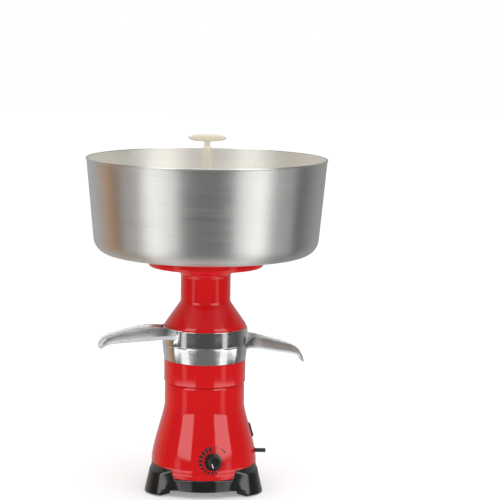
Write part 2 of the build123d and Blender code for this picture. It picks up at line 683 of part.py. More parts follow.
# ---------------------------------------------------------------- receivers
def trough_section(centre, half_width, low, high, corner):
    """A U-shaped section across the spout, at a distance out from the axis."""
    plane = Plane(origin=(centre, 0, 0), x_dir=(0, 1, 0), z_dir=(1, 0, 0))
    return plane * outline(
        (-half_width, low, corner),
        (half_width, low, corner),
        (half_width + 0.8, high),
        (-half_width - 0.8, high),
    )


def trough(stations, inset, lift):
    """A lofted spout through (distance, half width, bottom, top) stations."""
    sections = []
    for s, w, low, high in stations:
        corner = max(0.5, min(7.0, 0.6 * (high - low), 0.6 * w) - inset)
        sections.append(trough_section(s, w - inset, low + inset, high + lift, corner))
    return loft(sections)


def spout(stations):
    """(outside, inside) of an open trough. The inside runs on past the lip, and cuts it open."""
    s, w, low, high = stations[-1]
    before = stations[-2]
    step = 2.0 / (s - before[0])
    slope = [end - start for end, start in zip(stations[-1], before)]
    beyond = (s + 2.0, w + slope[1] * step, low + slope[2] * step, high + slope[3] * step)
    return trough(stations, 0.0, 0.0), trough(list(stations) + [beyond], SPOUT_WALL, 12.0)


# (distance from the axis, half width, bottom, top) of each spout
SKIM_STATIONS = (
    (50, 39, 217.5, 226.5),
    (57, 34, 217.5, 228.5),
    (64, 26, 217.3, 232.0),
    (73, 18.5, 216.0, 234.8),
    (88, 15, 213.2, 232.2),
    (115, 13.5, 208.0, 225.0),
    (136, 12.5, 204.0, 218.6),
    (144.5, 12, 201.4, 213.3),
    (150, 11, 197.6, 206.0),
    (153.5, 9.8, 193.4, 199.2),
    (155.8, 9, 189.6, 193.8),
)
CREAM_STATIONS = (
    (50, 37, 236.0, 251.2),
    (57, 31, 236.0, 251.4),
    (64, 24, 235.8, 252.4),
    (74, 18, 235.4, 254.4),
    (92, 15, 234.6, 255.6),
    (122, 13.5, 233.8, 251.8),
    (148, 12, 233.0, 247.2),
    (158, 11, 231.9, 244.4),
    (165, 10, 229.4, 239.5),
    (169.5, 9, 226.2, 232.9),
)


def make_skim_receiver():
    wall = RECEIVER_WALL
    face = outline(
        (CHAMBER_R - wall, SHOULDER_Z + CLEAR),
        (CHAMBER_R, SHOULDER_Z + CLEAR, 0.6),
        (RECEIVER_R, SEAM_Z - 1.2),
        (RECEIVER_R - 0.9, SEAM_Z, 0.4),
        (RECEIVER_R - wall, SEAM_Z, 0.4),
        (RECEIVER_R - wall - 0.3, SKIM_FLOOR_Z, 1.5),
        (48, SKIM_FLOOR_Z, 4),
        (21, 230.0, 1),
        (19, 230.0, 0.8),
        (19, 227.4),
        (46, SKIM_FLOOR_Z - 2, 4),
        (CHAMBER_R - wall, SKIM_FLOOR_Z - 2, 2),
    )
    ring = turned(face)
    outside, inside = spout(SKIM_STATIONS)
    outside -= disc(RECEIVER_R - wall, 190, 300)
    outside -= disc(RECEIVER_R + 0.4, SEAM_Z, 300)
    inside -= disc(57, 180, 300)
    inside -= disc(RECEIVER_R + 0.4, SEAM_Z - 2.6, 300)
    receiver = (ring + outside) - inside
    keep("skim_receiver", Rot(0, 0, SKIM_SPOUT_ANGLE) * receiver)


def make_cream_receiver():
    wall = RECEIVER_WALL
    ledge_z = RECEIVER_TOP_Z - 3.2
    face = outline(
        (60.6, SEAM_Z - 2),
        (RECEIVER_R - wall - 0.4, SEAM_Z - 2),
        (RECEIVER_R - wall - 0.4, SEAM_Z + CLEAR),
        (RECEIVER_R - 0.9, SEAM_Z + CLEAR),
        (RECEIVER_R, SEAM_Z + 1.3),
        (RECEIVER_R, RECEIVER_TOP_Z, 0.5),
        (RECEIVER_R - wall, RECEIVER_TOP_Z, 0.4),
        (RECEIVER_R - wall, ledge_z),
        (60.6, ledge_z),
        (60.6, CREAM_FLOOR_Z, 2),
        (46, CREAM_FLOOR_Z, 4),
        (18.5, 246.4, 1),
        (16.5, 246.4, 0.8),
        (16.5, 244.0),
        (45, CREAM_FLOOR_Z - 2, 4),
        (60.6, CREAM_FLOOR_Z - 2, 1),
    )
    ring = turned(face)
    outside, inside = spout(CREAM_STATIONS)
    outside -= disc(RECEIVER_R - wall, 190, 300)
    inside -= disc(55, 180, 300)
    inside -= disc(RECEIVER_R, ledge_z - 0.8, 300)
    receiver = (ring + outside) - inside
    keep("cream_receiver", Rot(0, 0, CREAM_SPOUT_ANGLE) * receiver)


# ---------------------------------------------------------------- float chamber and float
def make_float_chamber():
    wall = 2.4
    floor_z = 291.0
    face = outline(
        (CONE_R, RECEIVER_TOP_Z - 3.1),
        (CONE_R, RECEIVER_TOP_Z + 3.4, 3),
        (NECK_R, NECK_LOW_Z, 5),
        (NECK_R, NECK_HIGH_Z + 8, 9),
        (DISH_R - 1, DISH_LOW_Z - 0.6, 1.5),
        (DISH_R, DISH_LOW_Z + 3, 1.5),
        (DISH_R, TANK_FLOOR_Z - CLEAR, 0.8),
        (DISH_R - wall, TANK_FLOOR_Z - CLEAR, 0.8),
        (DISH_R - wall, DISH_LOW_Z + 3, 3),
        (NECK_R - wall, NECK_HIGH_Z + 11, 9),
        (NECK_R - wall, floor_z, 2),
        (6, floor_z - 1),
        (3, floor_z - 2.5),
        (3, 254),
        (4.4, 254, 0.5),
        (5.2, floor_z - 4.4, 2),
        (NECK_R - wall - 0.5, floor_z - 4.4, 2),
        (CONE_R - wall, RECEIVER_TOP_Z + 3.0, 2),
        (CONE_R - wall, RECEIVER_TOP_Z - 3.1),
    )
    keep("float_chamber", turned(face))


def make_float():
    low, high = 297.0, 316.0
    face = outline(
        (32, low),
        (33.5, low, 0.4),
        (33.5, high, 3),
        (7, high + 10, 2),
        (7, high + 11),
        (0, high + 11),
        (0, high + 8.4),
        (7, high + 8.4, 2),
        (32, high - 1.4, 2),
    )
    body = turned(face)
    stub = at(28, 0, disc(1.8, 291.1, high + 0.2))
    body += around(stub, 3, 30)
    keep("float", body)
    keep("float_seal", disc(6, 327 + 0.02, 330.6))


# ---------------------------------------------------------------- tank, outlet and plug
def make_tank():
    lean = (TANK_RIM_R - TANK_FOOT_R) / (RIM_Z - TANK_FLOOR_Z)
    face = outline(
        (14.2, TANK_FLOOR_Z),
        (TANK_FOOT_R, TANK_FLOOR_Z, 25),
        (TANK_RIM_R - lean * 1.5, RIM_Z - 1.5, 1),
        (TANK_RIM_R + 0.6, RIM_Z - 1.2, 0.5),
        (TANK_RIM_R + 0.6, RIM_Z, 0.7),
        (TANK_RIM_R - TANK_WALL, RIM_Z, 0.7),
        (TANK_FOOT_R - TANK_WALL, TANK_FLOOR_Z + TANK_WALL, 23.5),
        (14.2, TANK_FLOOR_Z + TANK_WALL),
    )
    keep("milk_tank", turned(face))


def make_outlet():
    seat_z = TANK_FLOOR_Z + TANK_WALL
    fitting = turned(
        outline(
            (PLUG_R + 0.1, 346),
            (9.5, 341, 0.5),
            (11, 345),
            (14, 350),
            (14, seat_z + 1.6),
            (21, seat_z + 1.6),
            (21, seat_z + 4, 1),
            (12, seat_z + 4, 1),
            (12, seat_z + 18, 0.8),
            (PLUG_R + 0.1, seat_z + 18),
        )
    )
    fitting -= Pos(0, 10, seat_z + 9) * Box(8, 12, 8)
    keep("outlet_fitting", fitting)
    keep("outlet_gasket", tube(14.2, 20.5, seat_z + 0.05, seat_z + 1.55))
    nut = extrude(Plane.XY.offset(355) * RegularPolygon(20, 6), 8.9) - disc(14 + RUNNING, 350, 370)
    keep("outlet_nut", nut & disc(19.2, 350, 370))


def make_plug():
    low = 347.0
    face = outline(
        (0, low),
        (PLUG_R, low, 0.6),
        (PLUG_R, STEM_TOP_Z, 1.2),
        (4.3, STEM_TOP_Z, 0.6),
        (4.3, HANDLE_Z),
        (0, HANDLE_Z),
    )
    stem = turned(face)
    stem -= disc(PLUG_BORE_R, low - 1, 384)
    stem -= Pos(6, 0, TANK_FLOOR_Z + TANK_WALL + 9) * Box(8, 7, 7)
    half = HANDLE_LENGTH / 2
    tall = HANDLE_HEIGHT / 2
    face = outline(
        (-half, -tall * 0.62, 2.6),
        (-half * 0.45, -tall, 12),
        (half * 0.45, -tall, 12),
        (half, -tall * 0.62, 2.6),
        (half, tall * 0.62, 2.6),
        (half * 0.45, tall, 12),
        (-half * 0.45, tall, 12),
        (-half, tall * 0.62, 2.6),
    )
    bar = extrude(Plane(origin=(0, 0, HANDLE_Z), x_dir=(1, 0, 0), z_dir=(0, -1, 0)) * face, 5.5, both=True)
    plan = extrude(Plane.XY.offset(HANDLE_Z - 20) * SlotOverall(HANDLE_LENGTH, 11), 40)
    bar = bar & plan
    keep("plug_valve", stem + bar)


def make_everything():
    make_base()
    make_feet()
    make_housing()
    make_drum_chamber()
    make_chamber_bolts()
    make_brackets()
    make_stator()
    make_armature()
    make_shaft()
    make_bearings()
    make_brushes()
    make_speed_control()
    make_switch()
    make_cord()
    make_wiring()
    make_drum_base()
    make_disc_stack()
    make_drum_cover()
    make_skim_receiver()
    make_cream_receiver()
    make_float_chamber()
    make_float()
    make_tank()
    make_outlet()
    make_plug()


make_everything()
os.makedirs("parts", exist_ok=True)
for part_name, part in parts.items():
    export_step(part, f"parts/{part_name}.step")
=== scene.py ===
import json
from math import atan2, ceil, cos, degrees, pi, radians, sin, sqrt, tan

import bmesh
import bpy
from mathutils import Matrix, Vector

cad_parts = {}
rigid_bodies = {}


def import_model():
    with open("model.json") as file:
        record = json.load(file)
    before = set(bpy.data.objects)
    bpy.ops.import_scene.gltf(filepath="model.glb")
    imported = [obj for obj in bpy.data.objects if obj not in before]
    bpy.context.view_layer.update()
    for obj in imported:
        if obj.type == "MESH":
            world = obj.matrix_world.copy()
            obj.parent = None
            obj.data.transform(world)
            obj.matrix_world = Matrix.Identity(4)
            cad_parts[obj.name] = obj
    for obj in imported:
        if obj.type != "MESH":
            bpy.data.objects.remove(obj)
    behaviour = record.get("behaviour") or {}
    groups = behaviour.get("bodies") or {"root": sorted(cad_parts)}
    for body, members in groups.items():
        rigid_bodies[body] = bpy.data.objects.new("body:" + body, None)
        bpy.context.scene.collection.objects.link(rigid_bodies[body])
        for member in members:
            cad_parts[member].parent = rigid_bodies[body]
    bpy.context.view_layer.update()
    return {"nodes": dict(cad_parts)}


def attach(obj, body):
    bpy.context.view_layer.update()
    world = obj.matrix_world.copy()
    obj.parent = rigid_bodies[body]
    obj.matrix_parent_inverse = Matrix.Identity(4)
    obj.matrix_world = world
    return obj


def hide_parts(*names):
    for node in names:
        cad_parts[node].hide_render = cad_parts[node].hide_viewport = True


# The looks of an electric cream separator. Shapes are written in millimetres and made in metres.

for leftover in list(bpy.data.objects):
    bpy.data.objects.remove(leftover)
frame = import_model()
nodes = frame["nodes"]
scene = bpy.context.scene
MM = 0.001
ROUND = 224        # segments round the axis


# ---------------------------------------------------------------- shapes
def path(*corners, steps=None):
    """A closed outline as points from (x, y) or (x, y, radius) corners. A radius rounds its corner."""
    points = [Vector((c[0], c[1])) for c in corners]
    made = []
    for i, corner in enumerate(corners):
        here, before, after = points[i], points[i - 1], points[(i + 1) % len(points)]
        if len(corner) < 3:
            made.append((here.x, here.y))
            continue
        back, ahead = (before - here).normalized(), (after - here).normalized()
        turn = back.angle(ahead)
        centre = here + (back + ahead).normalized() * (corner[2] / sin(turn / 2))
        reach = corner[2] / tan(turn / 2)
        start, stop = here + back * reach - centre, here + ahead * reach - centre
        sweep = start.angle_signed(stop)
        count = steps or max(3, ceil(abs(degrees(sweep)) / 11))
        a = atan2(start.y, start.x)
        for k in range(count + 1):
            b = a - sweep * k / count
            made.append((centre.x + corner[2] * cos(b), centre.y + corner[2] * sin(b)))
    return made


def bezier(p0, p1, p2, p3, steps=24):
    """A cubic curve as points, from p0 to p3."""
    made = []
    for k in range(steps + 1):
        t = k / steps
        u = 1 - t
        weights = (u * u * u, 3 * u * u * t, 3 * u * t * t, t * t * t)
        made.append(tuple(sum(w * p[i] for w, p in zip(weights, (p0, p1, p2, p3))) for i in (0, 1)))
    return made


def make(name, verts, faces, sharp=35):
    """A smooth-shaded object from millimetre points, with edges above an angle left sharp."""
    mesh = bpy.data.meshes.new(name)
    mesh.from_pydata([(x * MM, y * MM, z * MM) for x, y, z in verts], [], faces)
    obj = bpy.data.objects.new(name, mesh)
    scene.collection.objects.link(obj)
    tidy_mesh(obj, sharp)
    return obj


def tidy_mesh(obj, sharp=35):
    """Closes and cleans the mesh, turns its faces outwards, and shades it smooth up to an angle."""
    bm = bmesh.new()
    bm.from_mesh(obj.data)
    bmesh.ops.remove_doubles(bm, verts=bm.verts, dist=1e-6)
    bmesh.ops.dissolve_degenerate(bm, edges=bm.edges, dist=1e-6)
    bmesh.ops.holes_fill(bm, edges=bm.edges, sides=4)
    bmesh.ops.delete(bm, geom=[edge for edge in bm.edges if not edge.link_faces], context="EDGES")
    bmesh.ops.recalc_face_normals(bm, faces=bm.faces)
    bm.to_mesh(obj.data)
    bm.free()
    obj.data.shade_smooth()
    obj.data.set_sharp_from_angle(angle=radians(sharp))


def lathe(name, profile, sharp=35, segments=ROUND, radius_at=None):
    """A closed (radius, height) profile turned round Z. radius_at(r, z, angle) may bend it off round."""
    verts, rings = [], []
    for r, z in profile:
        if r < 1e-6:
            rings.append([len(verts)])
            verts.append((0, 0, z))
            continue
        rings.append(list(range(len(verts), len(verts) + segments)))
        for k in range(segments):
            a = 2 * pi * k / segments
            rr, zz = radius_at(r, z, a) if radius_at else (r, z)
            verts.append((rr * cos(a), rr * sin(a), zz))
    faces = []
    for i, ring in enumerate(rings):
        other = rings[(i + 1) % len(rings)]
        if len(ring) == 1 and len(other) == 1:
            continue
        for k in range(segments):
            n = (k + 1) % segments
            if len(ring) == 1:
                faces.append((ring[0], other[n], other[k]))
            elif len(other) == 1:
                faces.append((ring[k], ring[n], other[0]))
            else:
                faces.append((ring[k], ring[n], other[n], other[k]))
    return make(name, verts, faces, sharp)


def loft(name, sections, sharp=35, closed=False):
    """A skin through closed sections of equally many points, capped at both ends or closed on itself."""
    count = len(sections[0])
    verts = [p for section in sections for p in section]
    faces = []
    if not closed:
        faces = [tuple(range(count))[::-1], tuple(len(verts) - count + k for k in range(count))]
    for i in range(len(sections) if closed else len(sections) - 1):
        m = (i + 1) % len(sections)
        for k in range(count):
            n = (k + 1) % count
            faces.append((i * count + k, i * count + n, m * count + n, m * count + k))
    return make(name, verts, faces, sharp)


def prism(name, outline, low, high):
    """A flat outline pulled up from one height to another."""
    return loft(name, [[(x, y, low) for x, y in outline], [(x, y, high) for x, y in outline]])


def rod(name, radius, low, high, centre=(0, 0), segments=96):
    outline = []
    for k in range(segments):
        a = 2 * pi * k / segments
        outline.append((centre[0] + radius * cos(a), centre[1] + radius * sin(a)))
    return prism(name, outline, low, high)


def move(obj, matrix):
    obj.data.transform(matrix)
    return obj


def evaluated_mesh(obj):
    """A new mesh of the object with its modifiers, or its text, worked out."""
    return bpy.data.meshes.new_from_object(obj.evaluated_get(bpy.context.evaluated_depsgraph_get()))


def bake(obj):
    done = evaluated_mesh(obj)
    obj.modifiers.clear()
    obj.data = done


def boolean(target, kind, *others, sharp=35):
    """Adds or cuts away the other objects, which are used up."""
    for other in others:
        modifier = target.modifiers.new("cut", "BOOLEAN")
        modifier.operation = kind
        modifier.solver = "EXACT"
        modifier.object = other
        bake(target)
        bpy.data.objects.remove(other)
    tidy_mesh(target, sharp)
    return target


def bevel(obj, width):
    """Rounds the sharp edges, and keeps the result as the mesh."""
    modifier = obj.modifiers.new("edge", "BEVEL")
    modifier.width = width * MM
    modifier.segments = 3
    modifier.limit_method = "ANGLE"
    modifier.angle_limit = radians(30)
    modifier.use_clamp_overlap = True
    bake(obj)
    tidy_mesh(obj, 40)
    return obj


def turn_z(angle):
    return Matrix.Rotation(radians(angle), 4, "Z")


def around(radius, angle):
    """A flat point at a radius and an angle in degrees."""
    return radius * cos(radians(angle)), radius * sin(radians(angle))


def rounded_box(width, height, radius):
    x, y = width / 2, height / 2
    return path((-x, -y, radius), (x, -y, radius), (x, y, radius), (-x, y, radius))


# ---------------------------------------------------------------- materials
def feed(tree, value, socket):
    """Links a node's output to the socket, or sets the socket to a plain value."""
    if hasattr(value, "is_linked"):
        tree.links.new(value, socket)
    else:
        socket.default_value = value


def math_node(tree, kind, a, b):
    node = tree.nodes.new("ShaderNodeMath")
    node.operation = kind
    feed(tree, a, node.inputs[0])
    feed(tree, b, node.inputs[1])
    return node.outputs[0]


class Maker:
    """Short calls for making nodes in one material."""

    def __init__(self, name):
        self.material = bpy.data.materials.new(name)
        self.material.use_nodes = True
        self.tree = self.material.node_tree
        self.shader = self.tree.nodes["Principled BSDF"]
        self.position = self.add("ShaderNodeTexCoord").outputs["Object"]

    def add(self, kind, **settings):
        node = self.tree.nodes.new(kind)
        for key, value in settings.items():
            setattr(node, key, value)
        return node

    def link(self, a, b):
        self.tree.links.new(a, b)

    def set(self, **inputs):
        for key, value in inputs.items():
            feed(self.tree, value, self.shader.inputs[key.replace("_", " ")])

    def stretch(self, x, y, z):
        node = self.add("ShaderNodeMapping")
        node.inputs["Scale"].default_value = (x, y, z)
        self.link(self.position, node.inputs["Vector"])
        return node.outputs["Vector"]

    def noise(self, scale, detail=3.0, rough=0.55, vector=None):
        node = self.add("ShaderNodeTexNoise")
        node.inputs["Scale"].default_value = scale
        node.inputs["Detail"].default_value = detail
        node.inputs["Roughness"].default_value = rough
        self.link(vector or self.position, node.inputs["Vector"])
        return node.outputs["Fac"]

    def spread(self, value, low, high, start=0.3, stop=0.7):
        """The value, stretched from start..stop to low..high."""
        node = self.add("ShaderNodeMapRange")
        self.link(value, node.inputs["Value"])
        for key, number in (("From Min", start), ("From Max", stop), ("To Min", low), ("To Max", high)):
            node.inputs[key].default_value = number
        return node.outputs["Result"]

    def math(self, kind, a, b=0.0):
        return math_node(self.tree, kind, a, b)

    def blend(self, factor, a, b):
        """A mix of two colours: a at factor 0, b at factor 1."""
        node = self.add("ShaderNodeMix", data_type="RGBA")
        self.link(factor, node.inputs[0])
        for socket, colour in ((node.inputs[6], a), (node.inputs[7], b)):
            linked = hasattr(colour, "is_linked")
            feed(self.tree, colour if linked else (*colour, 1.0), socket)
        return node.outputs[2]

    def bump(self, height, distance, strength=1.0, after=None):
        node = self.add("ShaderNodeBump")
        node.inputs["Strength"].default_value = strength
        node.inputs["Distance"].default_value = distance
        self.link(height, node.inputs["Height"])
        if after:
            self.link(after, node.inputs["Normal"])
        return node.outputs["Normal"]

    def round_coordinates(self, around, along):
        """Coordinates that change slowly round the axis and fast along it and outwards."""
        split = self.add("ShaderNodeSeparateXYZ")
        self.link(self.position, split.inputs[0])
        x, y, z = split.outputs
        squares = self.math("ADD", self.math("MULTIPLY", x, x), self.math("MULTIPLY", y, y))
        r = self.math("SQRT", squares)
        safe = self.math("MAXIMUM", r, 0.0001)
        join = self.add("ShaderNodeCombineXYZ")
        self.link(self.math("MULTIPLY", self.math("DIVIDE", x, safe), around), join.inputs[0])
        self.link(self.math("MULTIPLY", self.math("DIVIDE", y, safe), around), join.inputs[1])
        self.link(self.math("MULTIPLY", self.math("ADD", z, r), along), join.inputs[2])
        return join.outputs[0]

    def edges(self, low=0.52, high=0.6):
        """About 1 on worn outside edges."""
        node = self.add("ShaderNodeNewGeometry")
        return self.spread(node.outputs["Pointiness"], 0.0, 1.0, low, high)


def shade(colour, factor):
    return tuple(min(1.0, c * factor) for c in colour)


def plastic(name, colour, rough, grain=0.0, coat=0.0, variation=0.06, scratch=0.12):
    """Moulded plastic: faint clouds in its colour, rubbed edges, and fine scratches in its shine."""
    m = Maker(name)
    cloud = m.noise(14, 4)
    fine = m.noise(900, 2)
    scratches = m.noise(40, 6, 0.7, m.stretch(1, 1, 14))
    rubbed = shade(tuple(c + 0.08 for c in colour), 1.2)
    tone = m.blend(m.spread(cloud, 0, 1), shade(colour, 1 - variation), shade(colour, 1 + variation))
    tone = m.blend(m.math("MULTIPLY", m.edges(0.54, 0.64), 0.18), tone, rubbed)
    m.set(Base_Color=tone, IOR=1.5)
    scuffs = m.spread(scratches, 0.0, scratch, 0.55, 0.75)
    worn = m.math("ADD", m.spread(cloud, rough * 0.8, rough * 1.2), scuffs)
    m.set(Roughness=worn, Coat_Weight=coat, Coat_Roughness=0.04)
    m.set(Normal=m.bump(fine, 0.00004 + grain, 0.35, m.bump(cloud, 0.0004, 0.25)))
    return m.material


def turned_metal(name, colour, rough, anisotropic, line=0.35, depth=0.00003, metallic=1.0, dents=0.0):
    """Metal brushed or turned round the axis, so reflections stretch along it. Dents are metres deep."""
    m = Maker(name)
    lines = m.noise(1.0, 4, 0.7, m.round_coordinates(1.6, 1500))
    bands = m.noise(1.0, 3, 0.6, m.round_coordinates(0.8, 130))
    cloud = m.noise(9, 4)
    dark, light = shade(colour, 1 - 0.16 * line), shade(colour, 1 + 0.10 * line)
    tone = m.blend(m.spread(lines, 0, 1, 0.25, 0.75), dark, light)
    tone = m.blend(m.math("MULTIPLY", m.spread(cloud, 0, 1), 0.35), tone, shade(colour, 0.86))
    m.set(Base_Color=tone, Metallic=metallic)
    brushed = m.spread(lines, rough * 0.75, rough * 1.25, 0.3, 0.7)
    m.set(Roughness=m.math("MAXIMUM", m.math("ADD", brushed, m.spread(bands, -0.03, 0.05)), 0.05))
    tangent = m.add("ShaderNodeTangent", direction_type="RADIAL", axis="Z")
    m.set(Anisotropic=anisotropic, Anisotropic_Rotation=0.25)
    m.link(tangent.outputs[0], m.shader.inputs["Tangent"])
    height = m.math("ADD", lines, m.math("MULTIPLY", bands, 0.6))
    hollows = m.bump(m.noise(55, 3, 0.5), dents, 1.0) if dents else None
    m.set(Normal=m.bump(height, depth, line, hollows))
    return m.material


def cast_metal(name, colour, rough, grain=0.0002, dark=0.7, metallic=1.0):
    """Cast or plated metal: mottled, with fine pores and brighter edges."""
    m = Maker(name)
    cloud = m.noise(25, 5, 0.6)
    pores = m.noise(600, 4, 0.6)
    tone = m.blend(m.spread(cloud, 0, 1), shade(colour, dark), colour)
    tone = m.blend(m.math("MULTIPLY", m.edges(), 0.6), tone, shade(colour, 1.25))
    m.set(Base_Color=tone, Metallic=metallic)
    m.set(Roughness=m.math("ADD", m.spread(cloud, rough * 0.75, rough * 1.2), m.spread(pores, -0.04, 0.06)))
    m.set(Normal=m.bump(pores, grain, 0.25, m.bump(cloud, 0.0006, 0.2)))
    return m.material


def rubber(name, colour, rough=0.75):
    """Rubber: matt, finely grained and a little dusty."""
    m = Maker(name)
    fine, cloud = m.noise(1600, 3), m.noise(60, 4)
    dust = m.blend(m.spread(cloud, 0, 0.35, 0.4, 0.8), colour, shade(tuple(c + 0.05 for c in colour), 1.3))
    m.set(Base_Color=dust, Roughness=m.spread(fine, rough * 0.85, min(1, rough * 1.15)), IOR=1.45)
    m.set(Normal=m.bump(fine, 0.00008, 0.5))
    return m.material


WAVE_TURN = 0.3142        # a wave texture's scale for one stripe per unit length


def striped(name, colour, gap, pitch, rough, metallic):
    """Laminations or turns of wire: fine level lines."""
    m = Maker(name)
    wave = m.add("ShaderNodeTexWave", bands_direction="Z", wave_profile="SIN")
    wave.inputs["Scale"].default_value = WAVE_TURN / pitch
    wave.inputs["Distortion"].default_value = 0.6
    wave.inputs["Detail"].default_value = 2.0
    m.link(m.position, wave.inputs["Vector"])
    cloud = m.noise(120, 4)
    tone = m.blend(wave.outputs["Fac"], gap, colour)
    tone = m.blend(m.spread(cloud, 0, 0.3), tone, shade(colour, 0.6))
    m.set(Base_Color=tone, Metallic=metallic, Roughness=m.spread(cloud, rough * 0.8, rough * 1.2))
    m.set(Normal=m.bump(wave.outputs["Fac"], 0.0002, 0.6))
    return m.material


TANK_METAL = turned_metal("tank_aluminium", (0.80, 0.80, 0.78), 0.40, 0.85, 0.8, 0.00002)
# A lighter, warmer, partly matt copy of the tank metal for the tank's inside: painted light for its bright
# warm inside.
TANK_INSIDE_LIT = turned_metal("tank_inside_painted_light", (0.88, 0.86, 0.81), 0.46, 0.6, 0.8, 0.00002, metallic=0.6)
RING_METAL = turned_metal("receiver_aluminium", (0.78, 0.79, 0.78), 0.13, 0.35, 0.5, 0.00002, dents=0.00018)
# Lit and shaded copies of the cast spout metal. The lighter, partly matt spout metal on the rims, floors
# and chamfers is partly painted light. The darker side copies are painted shade, cool on the cream spout
# and warm on the skim spout.
SPOUT_METAL = cast_metal("spout_aluminium", (0.82, 0.87, 0.89), 0.30, 0.00008, 0.86, 0.6)
CREAM_SIDE_SHADE = cast_metal("cream_spout_painted_shade", (0.60, 0.60, 0.61), 0.34, 0.00012, 0.78)
SKIM_SIDE_SHADE = cast_metal("skim_spout_painted_shade", (0.42, 0.39, 0.37), 0.34, 0.00012, 0.78)
DRUM_METAL = turned_metal("drum_aluminium", (0.82, 0.82, 0.81), 0.22, 0.5)
RED = plastic("red_plastic", (0.60, 0.006, 0.008), 0.09, 0.0, 0.25, 0.05, 0.04)
BLACK = plastic("black_plastic", (0.011, 0.011, 0.012), 0.15, 0.00002, 0.5, 0.1, 0.08)
KNOB_BLACK = plastic("knob_plastic", (0.010, 0.010, 0.011), 0.22, 0.0, 0.3, 0.1, 0.08)
IVORY = plastic("ivory_plastic", (0.80, 0.75, 0.61), 0.34, 0.00002, 0.1, 0.03, 0.08)
WHITE_PRINT = plastic("white_print", (0.82, 0.82, 0.80), 0.45, 0.0, 0.0, 0.03, 0.1)
BLACK_PRINT = plastic("black_print", (0.008, 0.003, 0.004), 0.6, 0.0, 0.0, 0.1, 0.1)
DARK_RED = plastic("switch_plastic", (0.22, 0.008, 0.012), 0.2, 0.0, 0.2)
STEEL = cast_metal("zinc_steel", (0.62, 0.62, 0.60), 0.3, 0.00006)
GROUND_STEEL = turned_metal("ground_steel", (0.60, 0.60, 0.61), 0.16, 0.4, 0.3, 0.00001)
DIE_CAST = cast_metal("die_cast_metal", (0.5, 0.5, 0.5), 0.5, 0.0004)
BRASS = cast_metal("brass", (0.74, 0.50, 0.20), 0.28, 0.00006)
RUBBER = rubber("black_rubber", (0.02, 0.02, 0.02))
WHITE_RUBBER = rubber("milky_rubber", (0.7, 0.69, 0.63), 0.55)
RED_RUBBER = rubber("red_rubber", (0.4, 0.06, 0.04), 0.6)
FOOD_PLASTIC = plastic("food_plastic", (0.78, 0.77, 0.70), 0.38, 0.00002)
CASE_PLASTIC = plastic("case_plastic", (0.03, 0.03, 0.035), 0.5, 0.0001)
BOARD = plastic("board_laminate", (0.02, 0.13, 0.05), 0.35, 0.0001, 0.2, 0.2)
WIRE = plastic("wire_sheath", (0.03, 0.06, 0.30), 0.35, 0.00002)
CARBON = rubber("carbon", (0.03, 0.03, 0.032), 0.5)
LAMINATION = striped("laminations", (0.38, 0.38, 0.40), (0.10, 0.09, 0.09), 0.0009, 0.4, 1.0)
COPPER = striped("wound_copper", (0.60, 0.20, 0.07), (0.12, 0.03, 0.01), 0.0009, 0.3, 0.8)
COMMUTATOR = turned_metal("commutator_copper", (0.74, 0.36, 0.22), 0.25, 0.4)

NODE_MATERIALS = {
    TANK_METAL: ("milk_tank",),
    RING_METAL: ("skim_receiver", "cream_receiver"),
    DRUM_METAL: ("drum_base", "separating_discs", "dividing_disc", "drum_cover"),
    RED: ("motor_housing", "drum_chamber", "float_chamber"),
    BLACK: ("base",),
    KNOB_BLACK: ("speed_knob",),
    IVORY: ("plug_valve", "outlet_fitting", "outlet_nut"),
    DARK_RED: ("switch_rocker",),
    STEEL: ("foot_screws", "base_screws", "chamber_bolts", "motor_bolts", "motor_nuts", "potentiometer_nut",
            "brush_springs"),
    GROUND_STEEL: ("motor_shaft", "drive_pin", "bearing_outer_rings", "bearing_inner_rings",
                   "bearing_balls"),
    DIE_CAST: ("upper_bearing_bracket", "lower_bearing_bracket"),
    BRASS: ("bearing_cages", "brush_holders", "switch_terminals", "cream_screw", "drum_nut"),
    RUBBER: ("foot_pads", "rubber_dampers", "shaft_slinger", "cord_grip", "mains_cord"),
    WHITE_RUBBER: ("float_seal", "outlet_gasket"),
    RED_RUBBER: ("drum_seal",),
    FOOD_PLASTIC: ("disc_holder", "float", "control_shaft"),
    CASE_PLASTIC: ("cooling_fan", "brush_caps", "potentiometer", "board_components", "switch_body"),
    BOARD: ("control_board",),
    WIRE: ("wiring",),
    CARBON: ("carbon_brushes",),
    LAMINATION: ("stator_core", "armature_core"),
    COPPER: ("field_coils", "armature_winding"),
    COMMUTATOR: ("commutator",),
}


def dress(obj, *materials):
    obj.data.materials.clear()
    for material in materials:
        obj.data.materials.append(material)
    return obj


WELD_DISTANCE = 0.000002


def carry_over():
    """Every CAD node gets its material and smooth shading, with its real edges left sharp."""
    for material, names in NODE_MATERIALS.items():
        for name in names:
            obj = dress(nodes[name], material)
            for polygon in obj.data.polygons:
                polygon.material_index = 0
            weld = obj.modifiers.new("weld", "WELD")
            weld.merge_threshold = WELD_DISTANCE
            obj.data.shade_smooth()
            obj.data.set_sharp_from_angle(angle=radians(30))


def finish_piece(obj, body, material, *stands_for, slot=None):
    """Dresses a piece, hangs it on its body, and hides the CAD nodes that it stands for."""
    if material:
        dress(obj, material)
    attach(obj, body)
    if stands_for:
        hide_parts(*stands_for)
    return obj


# ---------------------------------------------------------------- tank
RIM_Z, TANK_Z = 509.0, 364.0
RIM_R, FOOT_R, SHEET = 182.5, 169.0, 1.5
OUTLET_R = 14.2


